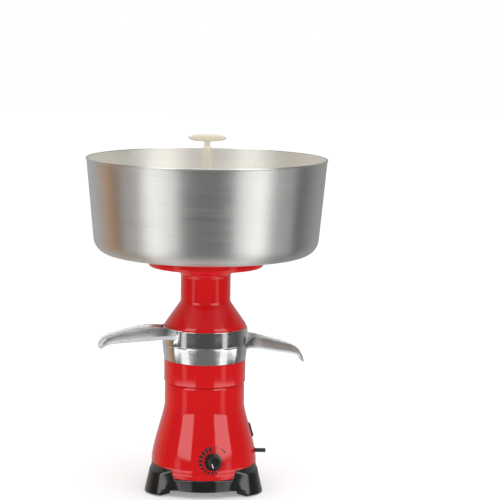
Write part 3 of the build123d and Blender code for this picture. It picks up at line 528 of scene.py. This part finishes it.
def build_tank():
    lean = (RIM_R - FOOT_R) / (RIM_Z - TANK_Z)
    profile = path(
        (OUTLET_R, TANK_Z),
        (FOOT_R, TANK_Z, 25),
        (RIM_R - lean * 3 - 0.2, RIM_Z - 3.0, 1.5),
        (RIM_R + 0.6, RIM_Z - 2.4, 0.8),
        (RIM_R + 0.6, RIM_Z, 1.1),
        (RIM_R - SHEET - 0.4, RIM_Z, 1.0),
        (RIM_R - SHEET - lean * 3, RIM_Z - 3.0, 3),
        (FOOT_R - SHEET, TANK_Z + SHEET, 23.5),
        (OUTLET_R, TANK_Z + SHEET),
    )
    longest = 12
    steps = []
    for (r0, z0), (r1, z1) in zip(profile, profile[1:] + profile[:1]):
        pieces = max(1, int(sqrt((r1 - r0) ** 2 + (z1 - z0) ** 2) / longest))
        steps += [(r0 + (r1 - r0) * k / pieces, z0 + (z1 - z0) * k / pieces) for k in range(pieces)]
    tank = dress(lathe("milk_tank_shell", steps, segments=288), TANK_METAL, TANK_INSIDE_LIT)
    # The inside faces get the lit copy of the tank metal: painted light.
    for polygon in tank.data.polygons:
        centre, out = polygon.center, polygon.normal
        inwards = centre.x * out.x + centre.y * out.y < -0.2 * sqrt(centre.x ** 2 + centre.y ** 2)
        inside = centre.z < (RIM_Z - 1) * MM and (inwards or out.z > 0.8)
        polygon.material_index = 1 if inside else 0
    finish_piece(tank, "machine", None, "milk_tank")


def signed_power(value, power):
    return abs(value) ** power * (1 if value > 0 else -1)


def plug_bar():
    """The T handle's bar: a squarish section that thins out towards both ends."""
    half, middle_z, depth = 29.0, 539.2, 5.3
    rings, around_ring = 40, 40
    sections = []
    for k in range(rings + 1):
        x = -half * cos(pi * k / rings)
        end = max((1 - min(1.0, abs(x) / half) ** 5.0) ** 0.5, 0.02)
        crown = 3.4 + 2.1 * cos(min(pi / 2, abs(x) / half * 1.15))
        tall, deep = crown * end, depth * end
        ring = []
        for j in range(around_ring):
            a = 2 * pi * j / around_ring
            y, z = deep * signed_power(cos(a), 0.55), tall * signed_power(sin(a), 0.62)
            ring.append((x, y, middle_z + z))
        sections.append(ring)
    return loft("plug_bar", sections, 60)


def build_plug():
    stem_r, stem_low, stem_high = 7.5, 347, 525
    neck_r, neck_high = 4.3, 538
    stem = lathe(
        "plug_valve_piece",
        path(
            (0, stem_low),
            (stem_r, stem_low, 0.6),
            (stem_r, stem_high, 1.6),
            (neck_r, stem_high, 1.2),
            (neck_r, neck_high),
            (0, neck_high),
        ),
        segments=96,
    )
    bore = rod("bore", 5, stem_low - 2, 384, segments=64)
    port = prism("port", [(2, -3.5), (10, -3.5), (10, 3.5), (2, 3.5)], 371, 378)
    boolean(stem, "DIFFERENCE", bore, port)
    boolean(stem, "UNION", plug_bar(), sharp=40)
    finish_piece(stem, "plug", IVORY, "plug_valve")


# ---------------------------------------------------------------- float chamber
def build_float_chamber():
    wall, cone, neck, dish = 2.4, 62.7, 38.0, 88.0
    profile = path(
        (cone - 0.4, 248.1),
        (cone, 248.5),
        (cone, 254.6, 9),
        (neck, 290.0, 10),
        (neck, 336.0, 9),
        (dish - 1, 344.9, 1.8),
        (dish, 348.5, 2),
        (dish, 363.9, 1.2),
        (dish - wall, 363.9, 1.0),
        (dish - wall, 348.5, 3),
        (neck - wall, 339.0, 9),
        (neck - wall, 291.0, 2),
        (6, 290),
        (3, 288.5),
        (3, 254),
        (4.4, 254, 0.5),
        (5.2, 286.6, 2),
        (neck - wall - 0.5, 286.6, 2),
        (cone - wall, 254.2, 2),
        (cone - wall, 248.1),
    )
    finish_piece(lathe("float_chamber_shell", profile), "machine", RED, "float_chamber")


# ---------------------------------------------------------------- receivers
RING_R, RING_WALL = 65.3, 2.2
SHEET_CAST = 1.8
RIM_FLARE, RIM_CROWN, RIM_STEPS = 0.8, 0.7, 8
SKIM_ANGLE, CREAM_ANGLE = 14.0, 202.0
# The troughs as (distance from the axis, half width, floor height, rim height).
SKIM_STATIONS = (
    (50, 39, 217.5, 226.5),
    (57, 34, 217.5, 228.5),
    (64, 26, 217.3, 232.0),
    (73, 18.5, 216.0, 234.8),
    (88, 15, 213.2, 232.2),
    (115, 13.5, 208.0, 225.0),
    (136, 12.5, 204.0, 218.6),
    (144.5, 12, 201.4, 213.3),
    (150, 11, 197.6, 206.0),
    (153.5, 9.8, 193.4, 199.2),
    (155.8, 9, 189.6, 193.8),
)
CREAM_STATIONS = (
    (50, 37, 236.0, 251.2),
    (57, 31, 236.0, 251.4),
    (64, 24, 235.8, 252.4),
    (74, 18, 235.4, 254.4),
    (92, 15, 234.6, 255.6),
    (122, 13.5, 233.8, 251.8),
    (148, 12, 233.0, 247.2),
    (158, 11, 231.9, 244.4),
    (165, 10, 229.4, 239.5),
    (169.5, 9, 226.2, 232.9),
)


def smooth_stations(stations, per_step=5):
    """More stations between the given ones, along monotone cubic curves."""
    s = [row[0] for row in stations]
    count = len(s)
    columns = []
    for column in range(1, 4):
        v = [row[column] for row in stations]
        d = [(v[i + 1] - v[i]) / (s[i + 1] - s[i]) for i in range(count - 1)]
        m = [d[0]]
        for a, b in zip(d, d[1:]):
            m.append(0.0 if a * b <= 0 else 2 * a * b / (a + b))
        m.append(d[-1])
        columns.append((v, m))
    made = []
    for i in range(count - 1):
        step = s[i + 1] - s[i]
        for k in range(per_step):
            t = k / per_step
            row = [s[i] + step * t]
            for v, m in columns:
                h00, h10 = 2 * t**3 - 3 * t**2 + 1, t**3 - 2 * t**2 + t
                h01, h11 = -2 * t**3 + 3 * t**2, t**3 - t**2
                row.append(h00 * v[i] + h10 * step * m[i] + h01 * v[i + 1] + h11 * step * m[i + 1])
            made.append(tuple(row))
    made.append(tuple(stations[-1]))
    return made


def half_section(half, low, high, chamfer, bottom_round):
    """Right half of a trough's outside, from its rim down to the middle of its floor."""
    c = min(chamfer, 0.45 * (high - low), 0.5 * half)
    beyond = high + 50        # an extra corner, dropped below
    corner = path(
        (half + RIM_FLARE, high),
        (half, low + c, c * 0.12),
        (half - c * 0.5, low + 0.5, min(bottom_round, c * 0.3)),
        (0, low),
        (0, beyond),
        steps=6,
    )
    return corner[:-1]


def trough_shell(name, stations, chamfer, bottom_round):
    """The open trough with its walls, as one thick U with rounded rims."""
    sheet = SHEET_CAST
    inner_chamfer = max(0.8, chamfer - 0.8)
    sections = []
    for s, half, low, high in stations:
        outside = half_section(half, low, high, chamfer, bottom_round)
        inside = half_section(half - sheet, low + sheet, high, inner_chamfer, bottom_round)
        rim = []
        middle = half + RIM_FLARE - sheet / 2
        for k in range(1, RIM_STEPS):
            a = pi * k / RIM_STEPS
            rim.append((middle - sheet / 2 * cos(a), high + RIM_CROWN * sin(a)))
        right = outside[::-1] + rim[::-1] + inside
        left = [(-y, z) for y, z in right[::-1]]
        ring = right + left[1:-1]
        sections.append([(s, y, z) for y, z in ring])
    return loft(name, sections, 40)


def trough_space(name, stations, chamfer, bottom_round):
    """What the trough holds, and some way above it: it cuts the mouth through the ring."""
    sheet, above = SHEET_CAST, 12
    inner_chamfer = max(0.8, chamfer - 0.8)
    sections = []
    for s, half, low, high in stations:
        inside = half_section(half - sheet, low + sheet, high + above, inner_chamfer, bottom_round)
        ring = inside[::-1] + [(-y, z) for y, z in inside[:-1]]
        sections.append([(s, y, z) for y, z in ring])
    return loft(name, sections)


def build_receiver(body, profile, stations, side, angle, chamfer, bottom_round, wall_top, rim_cut=None):
    """One ring with its trough. The trough's tall sides get the darker side material as painted shade, and
    its edges shine in the lighter spout metal, partly painted light.
    """
    ring = lathe(f"{body}_piece", profile)
    bottom, top, mouth_end, mouth_from = 150, 300, 72, 57.0
    fine = smooth_stations(stations)
    space = trough_space("space", [row for row in fine if row[0] < mouth_end], chamfer, bottom_round)
    keep_low = rod("keep_low", mouth_from, bottom, top)
    keep_high = rod("keep_high", RING_R + 0.4, wall_top, top, segments=ROUND)
    boolean(space, "DIFFERENCE", keep_low, keep_high)
    boolean(ring, "DIFFERENCE", space)
    shell = trough_shell("shell", fine, chamfer, bottom_round)
    boolean(shell, "DIFFERENCE", rod("inner", RING_R - RING_WALL + 0.15, bottom, top, segments=ROUND))
    if rim_cut:
        boolean(shell, "DIFFERENCE", rod("above", RING_R + 0.3, rim_cut, top, segments=ROUND))
    boolean(ring, "UNION", shell, sharp=38)
    move(ring, turn_z(angle))
    dress(ring, RING_METAL, SPOUT_METAL, side)
    along = Vector((*around(1, angle), 0))
    across = Vector((-along.y, along.x, 0))
    # Sideways faces of the trough take the darker side copy as painted shade. Its other faces take the
    # lighter spout metal.
    for polygon in ring.data.polygons:
        centre, normal = polygon.center, polygon.normal
        out = sqrt(centre.x ** 2 + centre.y ** 2)
        if out > (RING_R + 0.25) * MM and centre.dot(along) > 0:
            outwards = normal.dot(across) * (1 if centre.dot(across) > 0 else -1)
            polygon.material_index = 2 if outwards > 0.3 and abs(normal.z) < 0.25 else 1
    finish_piece(ring, body, None, body)


def build_receivers():
    wall, lean = RING_WALL, 0.7
    skim = path(
        (60.2, 201.1),
        (62.4, 201.1, 0.7),
        (RING_R, 224.4),
        (RING_R - 0.9, 225.8, 0.4),
        (RING_R - wall, 225.8, 0.4),
        (RING_R - wall - 0.3, 219.5, 1.5),
        (48, 219.5, 4),
        (21, 230.0, 1),
        (19, 230.0, 0.8),
        (19, 227.4),
        (46, 217.5, 4),
        (60.2, 217.5, 2),
    )
    build_receiver("skim_receiver", skim, SKIM_STATIONS, SKIM_SIDE_SHADE, SKIM_ANGLE, 4.2, 2.0, 223.2, 225.85)
    cream = path(
        (60.6, 223.8),
        (RING_R - wall - 0.4, 223.8),
        (RING_R - wall - 0.4, 225.9),
        (RING_R - 0.9, 225.9),
        (RING_R, 227.1),
        (RING_R - lean, 251.2, 0.9),
        (RING_R - wall - lean, 251.2, 0.6),
        (RING_R - wall, 248.0),
        (60.6, 248.0),
        (60.6, 238.0, 2),
        (46, 238.0, 4),
        (18.5, 246.4, 1),
        (16.5, 246.4, 0.8),
        (16.5, 244.0),
        (45, 236.0, 4),
        (60.6, 236.0, 1),
    )
    build_receiver("cream_receiver", cream, CREAM_STATIONS, CREAM_SIDE_SHADE, CREAM_ANGLE, 7.0, 3.0, 247.2)


# ---------------------------------------------------------------- drum chamber and housing
WAIST_R, BELLY_R = 61.0, 80.3
SCREW_ANGLES = (30, 150, 270)
CHAMBER_CIRCLE, BASE_CIRCLE = 47, 66        # radii of the two circles of screws


def build_drum_chamber():
    profile = path(
        (12.5, 165.9),
        (57.0, 165.9),
        (57.0, 166.4),
        (62.2, 166.4, 1.4),
        (62.4, 201.0, 0.4),
        (59.9, 201.0),
        (59.9, 213, 0.8),
        (57.6, 213),
        (57.6, 169.4, 3),
        (15, 169.4, 1.5),
        (15, 176),
        (12.5, 176),
    )
    piece = lathe("drum_chamber_shell", profile)
    holes = [rod("hole", 2.2, 160, 175, around(CHAMBER_CIRCLE, a), 32) for a in SCREW_ANGLES]
    finish_piece(boolean(piece, "DIFFERENCE", *holes), "machine", RED, "drum_chamber")


def flank(shrink=0.0):
    """The housing's side as (radius, height) points, upwards."""
    wide, narrow = BELLY_R - shrink, WAIST_R - shrink
    upper = bezier((wide, 42), (wide, 69), (narrow, 117), (narrow, 133))
    upper = [(r, z) for r, z in upper if z > 58]
    slope = (upper[0][0] - upper[1][0]) / (upper[1][1] - upper[0][1])
    r, z = upper[0]
    knee_z = 45.5
    knee_r = r + slope * (z - knee_z)
    lower = bezier((wide, knee_z - 6), (wide, knee_z - 2), (knee_r - slope * 2, knee_z + 2), (r, z), 14)
    return lower[:-1] + upper


def flank_radius(height):
    points = flank()
    for (r0, z0), (r1, z1) in zip(points, points[1:]):
        if z0 <= height <= z1:
            return r0 + (r1 - r0) * (height - z0) / (z1 - z0)
    return points[0][0]


def surface(angle, height, tilt):
    """A matrix to the housing's surface: x round, y up the flank, z outwards."""
    a, t = radians(angle), radians(tilt)
    x = Vector((-sin(a), cos(a), 0))
    z = Vector((cos(a) * cos(t), sin(a) * cos(t), sin(t)))
    y = z.cross(x)
    r = flank_radius(height) * MM
    matrix = Matrix((x, y, z)).transposed().to_4x4()
    matrix.translation = Vector((r * cos(a), r * sin(a), height * MM))
    return matrix


KNOB_ANGLE, KNOB_Z, KNOB_TILT = -80.0, 57.0, 11.0
KNOB = surface(KNOB_ANGLE, KNOB_Z, KNOB_TILT)
SWITCH = surface(11.0, 86.5, 15.2)
CORD_ANGLE, CORD_Z = -2.0, 57.8


def build_housing():
    top, wall, rim = 165.8, 3.0, 28
    across, down = 2.5, 5.0        # the rounding of the top edge
    outer = [(BELLY_R - 2, rim), (BELLY_R - 0.8, rim), (BELLY_R, rim + 1.6), (BELLY_R, 36)]
    outer += flank() + [(WAIST_R, 150)]
    for a in range(0, 91, 6):
        r, z = WAIST_R - across + across * cos(radians(a)), top - down + down * sin(radians(a))
        outer.append((r, z))
    inner = [(24, top), (24, top - 3.8), (WAIST_R - wall, top - 3.8)] + flank(wall)[::-1]
    inner += [(BELLY_R - wall, rim + 4), (BELLY_R - 6.5, rim + 4), (BELLY_R - 6.5, rim - 5)]
    inner += [(BELLY_R - 4, rim - 5), (BELLY_R - 4, rim)]
    shell = lathe("motor_housing_shell", outer + inner)
    cutters = [move(rod("hole", 3.6, -8, 8, segments=48), KNOB)]
    cutters.append(move(prism("hole", rounded_box(13, 19.4, 0.5), -8, 8), SWITCH))
    upwards = Matrix.Translation((0, 0, CORD_Z * MM))
    sideways = upwards @ turn_z(CORD_ANGLE) @ Matrix.Rotation(pi / 2, 4, "Y")
    cutters.append(move(rod("hole", 4.6, 68, 92, segments=64), sideways))
    cutters += [rod("hole", 2.3, 158, 170, around(CHAMBER_CIRCLE, a), 32) for a in SCREW_ANGLES]
    boolean(shell, "DIFFERENCE", *cutters)
    bosses = [rod("boss", 5.0, 12.6, 44, around(BASE_CIRCLE, a), 48) for a in SCREW_ANGLES]
    pilots = [rod("pilot", 2.0, 10, 32, around(BASE_CIRCLE, a), 32) for a in SCREW_ANGLES]
    boolean(shell, "UNION", *bosses)
    boolean(shell, "DIFFERENCE", *pilots)
    finish_piece(shell, "machine", RED, "motor_housing")


# ---------------------------------------------------------------- base
BAND_R = 80.5
LOBE_ANGLES = (90, 210, 330)
LOBE_PLACE = 56.0                 # distance of a foot's middle from the axis
LOBE_LOW_R, LOBE_HIGH_R = 42.0, 33.0
FOOT_Z, LOBE_TOP = 1.2, 41.0
FLOOR_LOW, FLOOR_TOP, FLOOR_R = 9.5, 12.5, 71.0
SEAT_Z, SEAT_BORE = 27.6, 76.6    # the shelf under the housing, and the wall's inside
INNER_FOOT = 72.0
VENT_COUNT, VENT_IN, VENT_OUT, VENT_HALF = 18, 21, 47, 1.6


def lobe_distance(angle):
    """How far an angle is from the nearest foot, in degrees."""
    return min(abs((degrees(angle) - a + 180) % 360 - 180) for a in LOBE_ANGLES)


def lobe_radius(away, height):
    """Radius of a foot's outside at an angle from its middle, or 0 beside it."""
    reach = LOBE_LOW_R - (LOBE_LOW_R - LOBE_HIGH_R) * (height - FOOT_Z) / (LOBE_TOP - FOOT_Z)
    a = radians(away)
    inside = reach ** 2 - (LOBE_PLACE * sin(a)) ** 2
    return LOBE_PLACE * cos(a) + sqrt(inside) if inside > 0 and away < 60 else 0.0


def soft_max(a, b, k):
    """The larger of two values, with a rounded change from one to the other."""
    h = max(k - abs(a - b), 0.0) / k
    return max(a, b) + h * h * k * 0.25


def base_section(angle):
    """One radial slice of the base's wall, as (radius, height) points."""
    away = lobe_distance(angle)

    def outside(z):
        return soft_max(BAND_R, lobe_radius(away, z), 7.0)

    bulge = max(0.0, min(1.0, (lobe_radius(away, 22.0) - BAND_R + 3.0) / 5.0))
    bulge = bulge * bulge * (3 - 2 * bulge)
    side = BAND_R * sin(radians(60 - away))
    gap = max(0.0, min(1.0, (60.0 - abs(side) - 1.0) / 9.0)) if away > 15 else 0.0
    low = FOOT_Z + 8.3 * sqrt(max(0.0, 1 - (1 - gap) ** 2))
    roof = LOBE_TOP - 0.66 * (outside(34.0) - BAND_R)
    high = SEAT_Z + (roof - SEAT_Z) * bulge
    edge = outside(high) - 1.8
    points = [
        (INNER_FOOT, low + 0.4),
        (INNER_FOOT + 0.4, low),
        (outside(low) - 1.2, low),
        (outside(low) - 0.35, low + 0.35),
        (outside(low + 1.2), low + 1.2),
    ]
    side_steps = 12
    for k in range(1, side_steps + 1):
        z = low + 1.2 + (high - 2.2 - low - 1.2) * k / side_steps
        points.append((outside(z), z))
    points.append((outside(high - 0.7) - 0.5, high - 0.7))
    points.append((edge, high + 0.2 * bulge))
    lip_r = 78.6 + 2.3 * bulge
    lip_z = SEAT_Z + (LOBE_TOP - SEAT_Z) * bulge
    for t in (0.25, 0.5, 0.75, 1.0):
        points.append((edge + (lip_r - edge) * t, high + (lip_z - high) * t))
    points += [
        (lip_r, lip_z - 0.6),
        (lip_r, SEAT_Z + 0.01),
        (SEAT_BORE, SEAT_Z),
        (SEAT_BORE, 20),
        (SEAT_BORE, FLOOR_TOP),
        (FLOOR_R, FLOOR_TOP),
        (FLOOR_R, FLOOR_LOW),
        (INNER_FOOT, FLOOR_LOW),
        (INNER_FOOT, FLOOR_LOW - 0.1),
    ]
    return points


def base_wall(segments):
    sections = []
    for k in range(segments):
        a = 2 * pi * k / segments
        sections.append([(r * cos(a), r * sin(a), z) for r, z in base_section(a)])
    return loft("base_moulding", sections, 50, closed=True)


def base_floor(segments):
    floor_r = FLOOR_R + 0.6
    corners = ((0, FLOOR_LOW), (floor_r, FLOOR_LOW), (floor_r, FLOOR_TOP), (0, FLOOR_TOP))
    floor = lathe("floor", path(*corners), segments=segments)
    half, end = VENT_HALF, VENT_HALF - 0.05
    slot = path((VENT_IN, -half, end), (VENT_OUT, -half, end), (VENT_OUT, half, end), (VENT_IN, half, end))
    turns = [10 + 360 / VENT_COUNT * k for k in range(VENT_COUNT)]
    cutters = [move(prism("slot", slot, 5, 20), turn_z(a)) for a in turns]
    cutters.append(rod("middle", 14, 5, 20))
    return boolean(floor, "DIFFERENCE", *cutters)


def build_base():
    segments = 480
    wall = base_wall(segments)
    boolean(wall, "UNION", base_floor(segments), sharp=50)
    holes = []
    for a in SCREW_ANGLES:
        at = around(BASE_CIRCLE, a)
        holes += [rod("hole", 2.2, 5, 20, at, 32), rod("hole", 4.6, 5, 10.1, at, 48)]
    for a in LOBE_ANGLES:
        at = around(84, a)
        holes += [rod("hole", 10.1, -1, 5.2, at, 64), rod("hole", 1.9, 0, 16, at, 32)]
    boolean(wall, "DIFFERENCE", *holes, sharp=50)
    finish_piece(wall, "machine", BLACK, "base")


# ---------------------------------------------------------------- controls
def build_knob():
    def fluted(r, z, a):
        if r < 8.5 or z < 6.0 or z > 15.4:
            return r, z
        flutes, depth = 20, 0.7
        wave = abs(sin(a * flutes / 2)) ** 0.6
        return r - depth * (1 - wave), z

    profile = path(
        (0, 4.2),
        (7.2, 4.2),
        (7.2, 3.4),
        (13.6, 3.4, 0.6),
        (13.2, 6.0, 0.8),
        (10.5, 6.3, 0.5),
        (9.7, 15.0, 1.2),
        (8.0, 15.6, 0.8),
        (7.4, 15.2, 0.6),
        (0, 15.2),
    )
    knob = lathe("knob_grip", profile, 40, 240, fluted)
    slot = prism("slot", rounded_box(1.2, 7.0, 0.3), 14.9, 16)
    line = prism("pointer_line", rounded_box(1.1, 6.8, 0.3), 15.0, 15.32)
    place = Matrix.Translation((-0.0030, -0.0052, 0)) @ turn_z(18)
    boolean(knob, "DIFFERENCE", move(slot, place))
    move(knob, KNOB)
    move(line, KNOB @ place)
    finish_piece(knob, "knob", KNOB_BLACK, "speed_knob")
    finish_piece(line, "knob", WHITE_PRINT, slot="speed_knob")


def wrap_to_housing(obj, lift):
    """Lays flat print, drawn round the knob's middle, on the curved housing."""
    middle = radians(KNOB_ANGLE)
    r0 = flank_radius(KNOB_Z)
    for vertex in obj.data.vertices:
        x, y, up = vertex.co.x / MM, vertex.co.y / MM, vertex.co.z / MM
        z = KNOB_Z + y * cos(radians(KNOB_TILT))
        a = middle + x / r0
        out = flank_radius(z) + lift + up
        vertex.co = Vector((out * cos(a) * MM, out * sin(a) * MM, z * MM))


def on_dial(angle, radius):
    """A point on the scale: the angle runs clockwise from straight up."""
    return Vector((sin(radians(angle)), cos(radians(angle)))) * radius


def build_dial():
    """A scale printed round the knob: bars that grow clockwise, a 0, a 10 and a turning arrow."""
    verts, faces = [], []

    def patch(corners):
        start, n = len(verts), len(corners)
        for lift in (0.0, 0.12):
            verts.extend((x, y, lift) for x, y in corners)
        faces.append(tuple(start + n + k for k in range(n)))
        faces.append(tuple(start + k for k in range(n))[::-1])
        for k in range(n):
            j = (k + 1) % n
            faces.append((start + k, start + j, start + n + j, start + n + k))

    bars, first, pitch, inner, steps = 12, -216.0, 18.7, 15.8, 6
    for k in range(bars):
        grown = k / (bars - 1)
        middle = first + k * pitch
        half = 4.6 + 2.2 * grown
        outer = inner + 2.0 + 5.4 * grown ** 0.7
        turns = [middle + half * (2 * t / steps - 1) for t in range(steps + 1)]
        patch([on_dial(a, outer) for a in turns[::-1]] + [on_dial(a, inner) for a in turns])
    arrow = [34 + 5 * k for k in range(5)]
    patch([on_dial(a, 24.4) for a in arrow[::-1]] + [on_dial(a, 23.5) for a in arrow])
    patch([on_dial(60, 24.0), on_dial(53.5, 25.6), on_dial(53.5, 22.3)])
    dial = make("dial_bars", verts, faces, 60)
    wrap_to_housing(dial, 0.03)
    finish_piece(dial, "machine", BLACK_PRINT, slot="motor_housing")
    number_size, number_r = 5.0, 22.4
    for text, angle in (("0", 108), ("10", 15)):
        curve = bpy.data.curves.new("number", "FONT")
        curve.body = text
        curve.size = number_size * MM
        curve.align_x, curve.align_y = "CENTER", "CENTER"
        curve.extrude = 0.05 * MM
        letter = bpy.data.objects.new("number", curve)
        scene.collection.objects.link(letter)
        bpy.context.view_layer.update()
        mesh = evaluated_mesh(letter)
        bpy.data.objects.remove(letter)
        number = bpy.data.objects.new(f"dial_number_{text}", mesh)
        scene.collection.objects.link(number)
        x, y = on_dial(angle, number_r) * MM
        number.data.transform(Matrix.Translation((x, y, 0.06 * MM)))
        wrap_to_housing(number, 0.03)
        tidy_mesh(number, 60)
        finish_piece(number, "machine", BLACK_PRINT, slot="motor_housing")


def build_switch():
    frame_piece = prism("switch_frame", rounded_box(15, 21, 1.2), 0.2, 2.2)
    case = prism("case", rounded_box(12.6, 19.0, 0.8), -12, 0.4)
    boolean(frame_piece, "UNION", case)
    boolean(frame_piece, "DIFFERENCE", prism("hollow", rounded_box(10.4, 17.8, 0.3), -9.6, 5))
    bevel(frame_piece, 0.35)
    move(frame_piece, SWITCH)
    finish_piece(frame_piece, "machine", CASE_PLASTIC, "switch_body")
    side = path(
        (-8.3, -0.5),
        (-6, -5.5, 1),
        (6, -5.5, 1),
        (8.3, -0.5),
        (8.2, 3.6, 1.0),
        (0, 2.2, 8),
        (-8.2, 3.6, 1.0),
    )
    rocker = loft("rocker_cap", [[(x, y, z) for y, z in side] for x in (-4.9, 4.9)])
    bevel(rocker, 0.4)
    tilt = Matrix.Translation((0, 0, -0.001)) @ Matrix.Rotation(radians(-9), 4, "X")
    move(rocker, SWITCH @ tilt)
    finish_piece(rocker, "rocker", DARK_RED, "switch_rocker")


# ---------------------------------------------------------------- stage
def area_light(name, place, aim, width, height, power):
    light = bpy.data.lights.new(name, "AREA")
    light.shape = "RECTANGLE"
    light.size, light.size_y = width, height
    light.energy = power
    obj = bpy.data.objects.new(name, light)
    scene.collection.objects.link(obj)
    obj.location = place
    obj.rotation_mode = "QUATERNION"
    obj.rotation_quaternion = (Vector(aim) - Vector(place)).to_track_quat("-Z", "Y")
    return obj


class Sky:
    """Math on the direction a ray leaves in, for the studio seen in reflections.

    Azimuth 0 is towards the camera's side (-Y) and grows towards +X, elevation 0 is level: in degrees.
    """

    def __init__(self, tree):
        self.tree = tree
        place = tree.nodes.new("ShaderNodeTexCoord")
        split = tree.nodes.new("ShaderNodeSeparateXYZ")
        tree.links.new(place.outputs["Generated"], split.inputs[0])
        x, y, z = split.outputs
        to_degrees = 180 / pi
        round_axis = self.math("ARCTAN2", x, self.math("MULTIPLY", y, -1.0))
        self.azimuth = self.math("MULTIPLY", round_axis, to_degrees)
        self.elevation = self.math("MULTIPLY", self.math("ARCSINE", z), to_degrees)

    def math(self, kind, a, b=0.0):
        return math_node(self.tree, kind, a, b)

    def rise(self, value, start, stop):
        """0 below start, 1 above stop, smooth between."""
        node = self.tree.nodes.new("ShaderNodeMapRange")
        node.interpolation_type = "SMOOTHSTEP"
        self.tree.links.new(value, node.inputs["Value"])
        node.inputs["From Min"].default_value = start
        node.inputs["From Max"].default_value = stop
        return node.outputs["Result"]

    def window(self, value, start, stop, soft):
        up = self.rise(value, start - soft / 2, start + soft / 2)
        down = self.rise(value, stop - soft / 2, stop + soft / 2)
        return self.math("SUBTRACT", up, down)

    def panel(self, azimuths, elevations, soft, strength):
        across = self.window(self.azimuth, *azimuths, soft)
        upright = self.window(self.elevation, *elevations, soft)
        return self.math("MULTIPLY", self.math("MULTIPLY", across, upright), strength)


WOOD_SIDES, WOOD_SOFT, WOOD_COLOUR = (-124, -98), 8, (1.0, 0.62, 0.38, 1)
# Bright parts of the studio as (azimuths, elevations, softness, strength), in degrees.
STUDIO_PANELS = (
    ((-62, -29), (6, 52), 2.5, 2.5),            # left softbox
    ((28, 66), (6, 52), 2.5, 2.5),              # right softbox
    ((-94, -26), (-22.5, -15.5), 3, 2.3),       # their bright feet, which the tank's wall sees
    ((28, 98), (-22.5, -15.5), 3, 2.3),
    ((-72, -46), (-46, -23), 5, 0.9),           # their light on the table
    ((44, 68), (-46, -23), 5, 0.9),
    ((-80, -36), (-68, -26), 5, 0.3),
    ((36, 82), (-68, -26), 5, 0.3),
    ((-66, -52), (-15, 4), 5, 0.7),             # their stands
    ((48, 62), (-15, 4), 5, 0.7),
    ((-44, 44), (-34, -20), 8, 0.12),           # the table's front
    ((-180, 180), (58, 90), 12, 1.3),           # ceiling
    ((-180, 180), (-91, -60), 16, 0.65),        # the table under the object
    (WOOD_SIDES, (-70, 60), WOOD_SOFT, 0.24),   # a wooden door
)
MATT_LEVEL, CAMERA_LEVEL = 0.92, 1.0


def build_world():
    """White to the camera, even light for matt surfaces, a dark room with softboxes for glossy ones."""
    world = bpy.data.worlds.new("studio")
    scene.world = world
    world.use_nodes = True
    world.cycles.sampling_method = "NONE"
    tree = world.node_tree
    tree.nodes.clear()
    sky = Sky(tree)
    aside = sky.math("ABSOLUTE", sky.azimuth)
    room = sky.math("ADD", sky.math("MULTIPLY", sky.rise(aside, 90, 150), 0.30), 0.08)
    glow = sky.math("ADD", room, sky.math("MULTIPLY", sky.window(sky.azimuth, -176, -112, 12), 0.12))
    for panel in STUDIO_PANELS:
        glow = sky.math("ADD", glow, sky.panel(*panel))
    wood = tree.nodes.new("ShaderNodeMix")
    wood.data_type = "RGBA"
    tree.links.new(sky.window(sky.azimuth, *WOOD_SIDES, WOOD_SOFT), wood.inputs[0])
    wood.inputs[6].default_value = (1, 1, 1, 1)
    wood.inputs[7].default_value = WOOD_COLOUR
    seen = {}
    for name, colour, level in (
        ("glossy", wood.outputs[2], glow),
        ("matt", (1, 1, 1, 1), MATT_LEVEL),
        ("camera", (1, 1, 1, 1), CAMERA_LEVEL),
    ):
        background = tree.nodes.new("ShaderNodeBackground")
        feed(tree, colour, background.inputs["Color"])
        feed(tree, level, background.inputs["Strength"])
        seen[name] = background.outputs[0]
    rays = tree.nodes.new("ShaderNodeLightPath")

    def choose(ray, otherwise, chosen):
        mix = tree.nodes.new("ShaderNodeMixShader")
        tree.links.new(rays.outputs[ray], mix.inputs["Fac"])
        tree.links.new(otherwise, mix.inputs[1])
        tree.links.new(chosen, mix.inputs[2])
        return mix.outputs[0]

    lit = choose("Is Glossy Ray", seen["matt"], seen["glossy"])
    output = tree.nodes.new("ShaderNodeOutputWorld")
    tree.links.new(choose("Is Camera Ray", lit, seen["camera"]), output.inputs[0])


def build_stage():
    half, under = 9000, -0.3
    verts = [(-half, -half, under), (half, -half, under), (half, half, under), (-half, half, under)]
    floor = make("floor", verts, [(0, 1, 2, 3)])
    m = Maker("floor_paper")
    cloud = m.noise(2.0, 2)
    m.set(Base_Color=m.blend(m.spread(cloud, 0, 1), (0.88, 0.88, 0.88), (0.9, 0.9, 0.9)), Roughness=0.9)
    m.set(Emission_Color=(1, 1, 1, 1), Emission_Strength=0.25)
    dress(floor, m.material)
    floor.visible_glossy = False
    build_world()
    area_light("top_panel", (0.2, -0.5, 2.4), (0, 0, 0.2), 1.6, 1.2, 9)
    fill = area_light("front_fill", (0.1, -2.4, 0.25), (0, 0, 0.3), 1.2, 0.5, 6)
    fill.visible_glossy = False
    scene.view_settings.view_transform = "Standard"
    scene.view_settings.look = "None"


def build_camera():
    distance, height = 2.8, 0.7549
    yaw, pitch, roll = 1.367, 7.846, 0.849
    camera = bpy.data.cameras.new("camera")
    obj = bpy.data.objects.new("camera", camera)
    scene.collection.objects.link(obj)
    camera.sensor_width, camera.lens = 36.0, 133.704
    obj.location = (0, -distance, height)
    a, p = radians(yaw), radians(pitch)
    ahead = Vector((sin(a) * cos(p), cos(a) * cos(p), -sin(p)))
    look = ahead.to_track_quat("-Z", "Y").to_matrix().to_4x4() @ Matrix.Rotation(radians(roll), 4, "Z")
    obj.rotation_mode = "QUATERNION"
    obj.rotation_quaternion = look.to_quaternion()
    camera.clip_start, camera.clip_end = 0.05, 60
    scene.camera = obj


carry_over()
build_tank()
build_plug()
build_float_chamber()
build_receivers()
build_drum_chamber()
build_housing()
build_base()
build_knob()
build_dial()
build_switch()
build_stage()
build_camera()
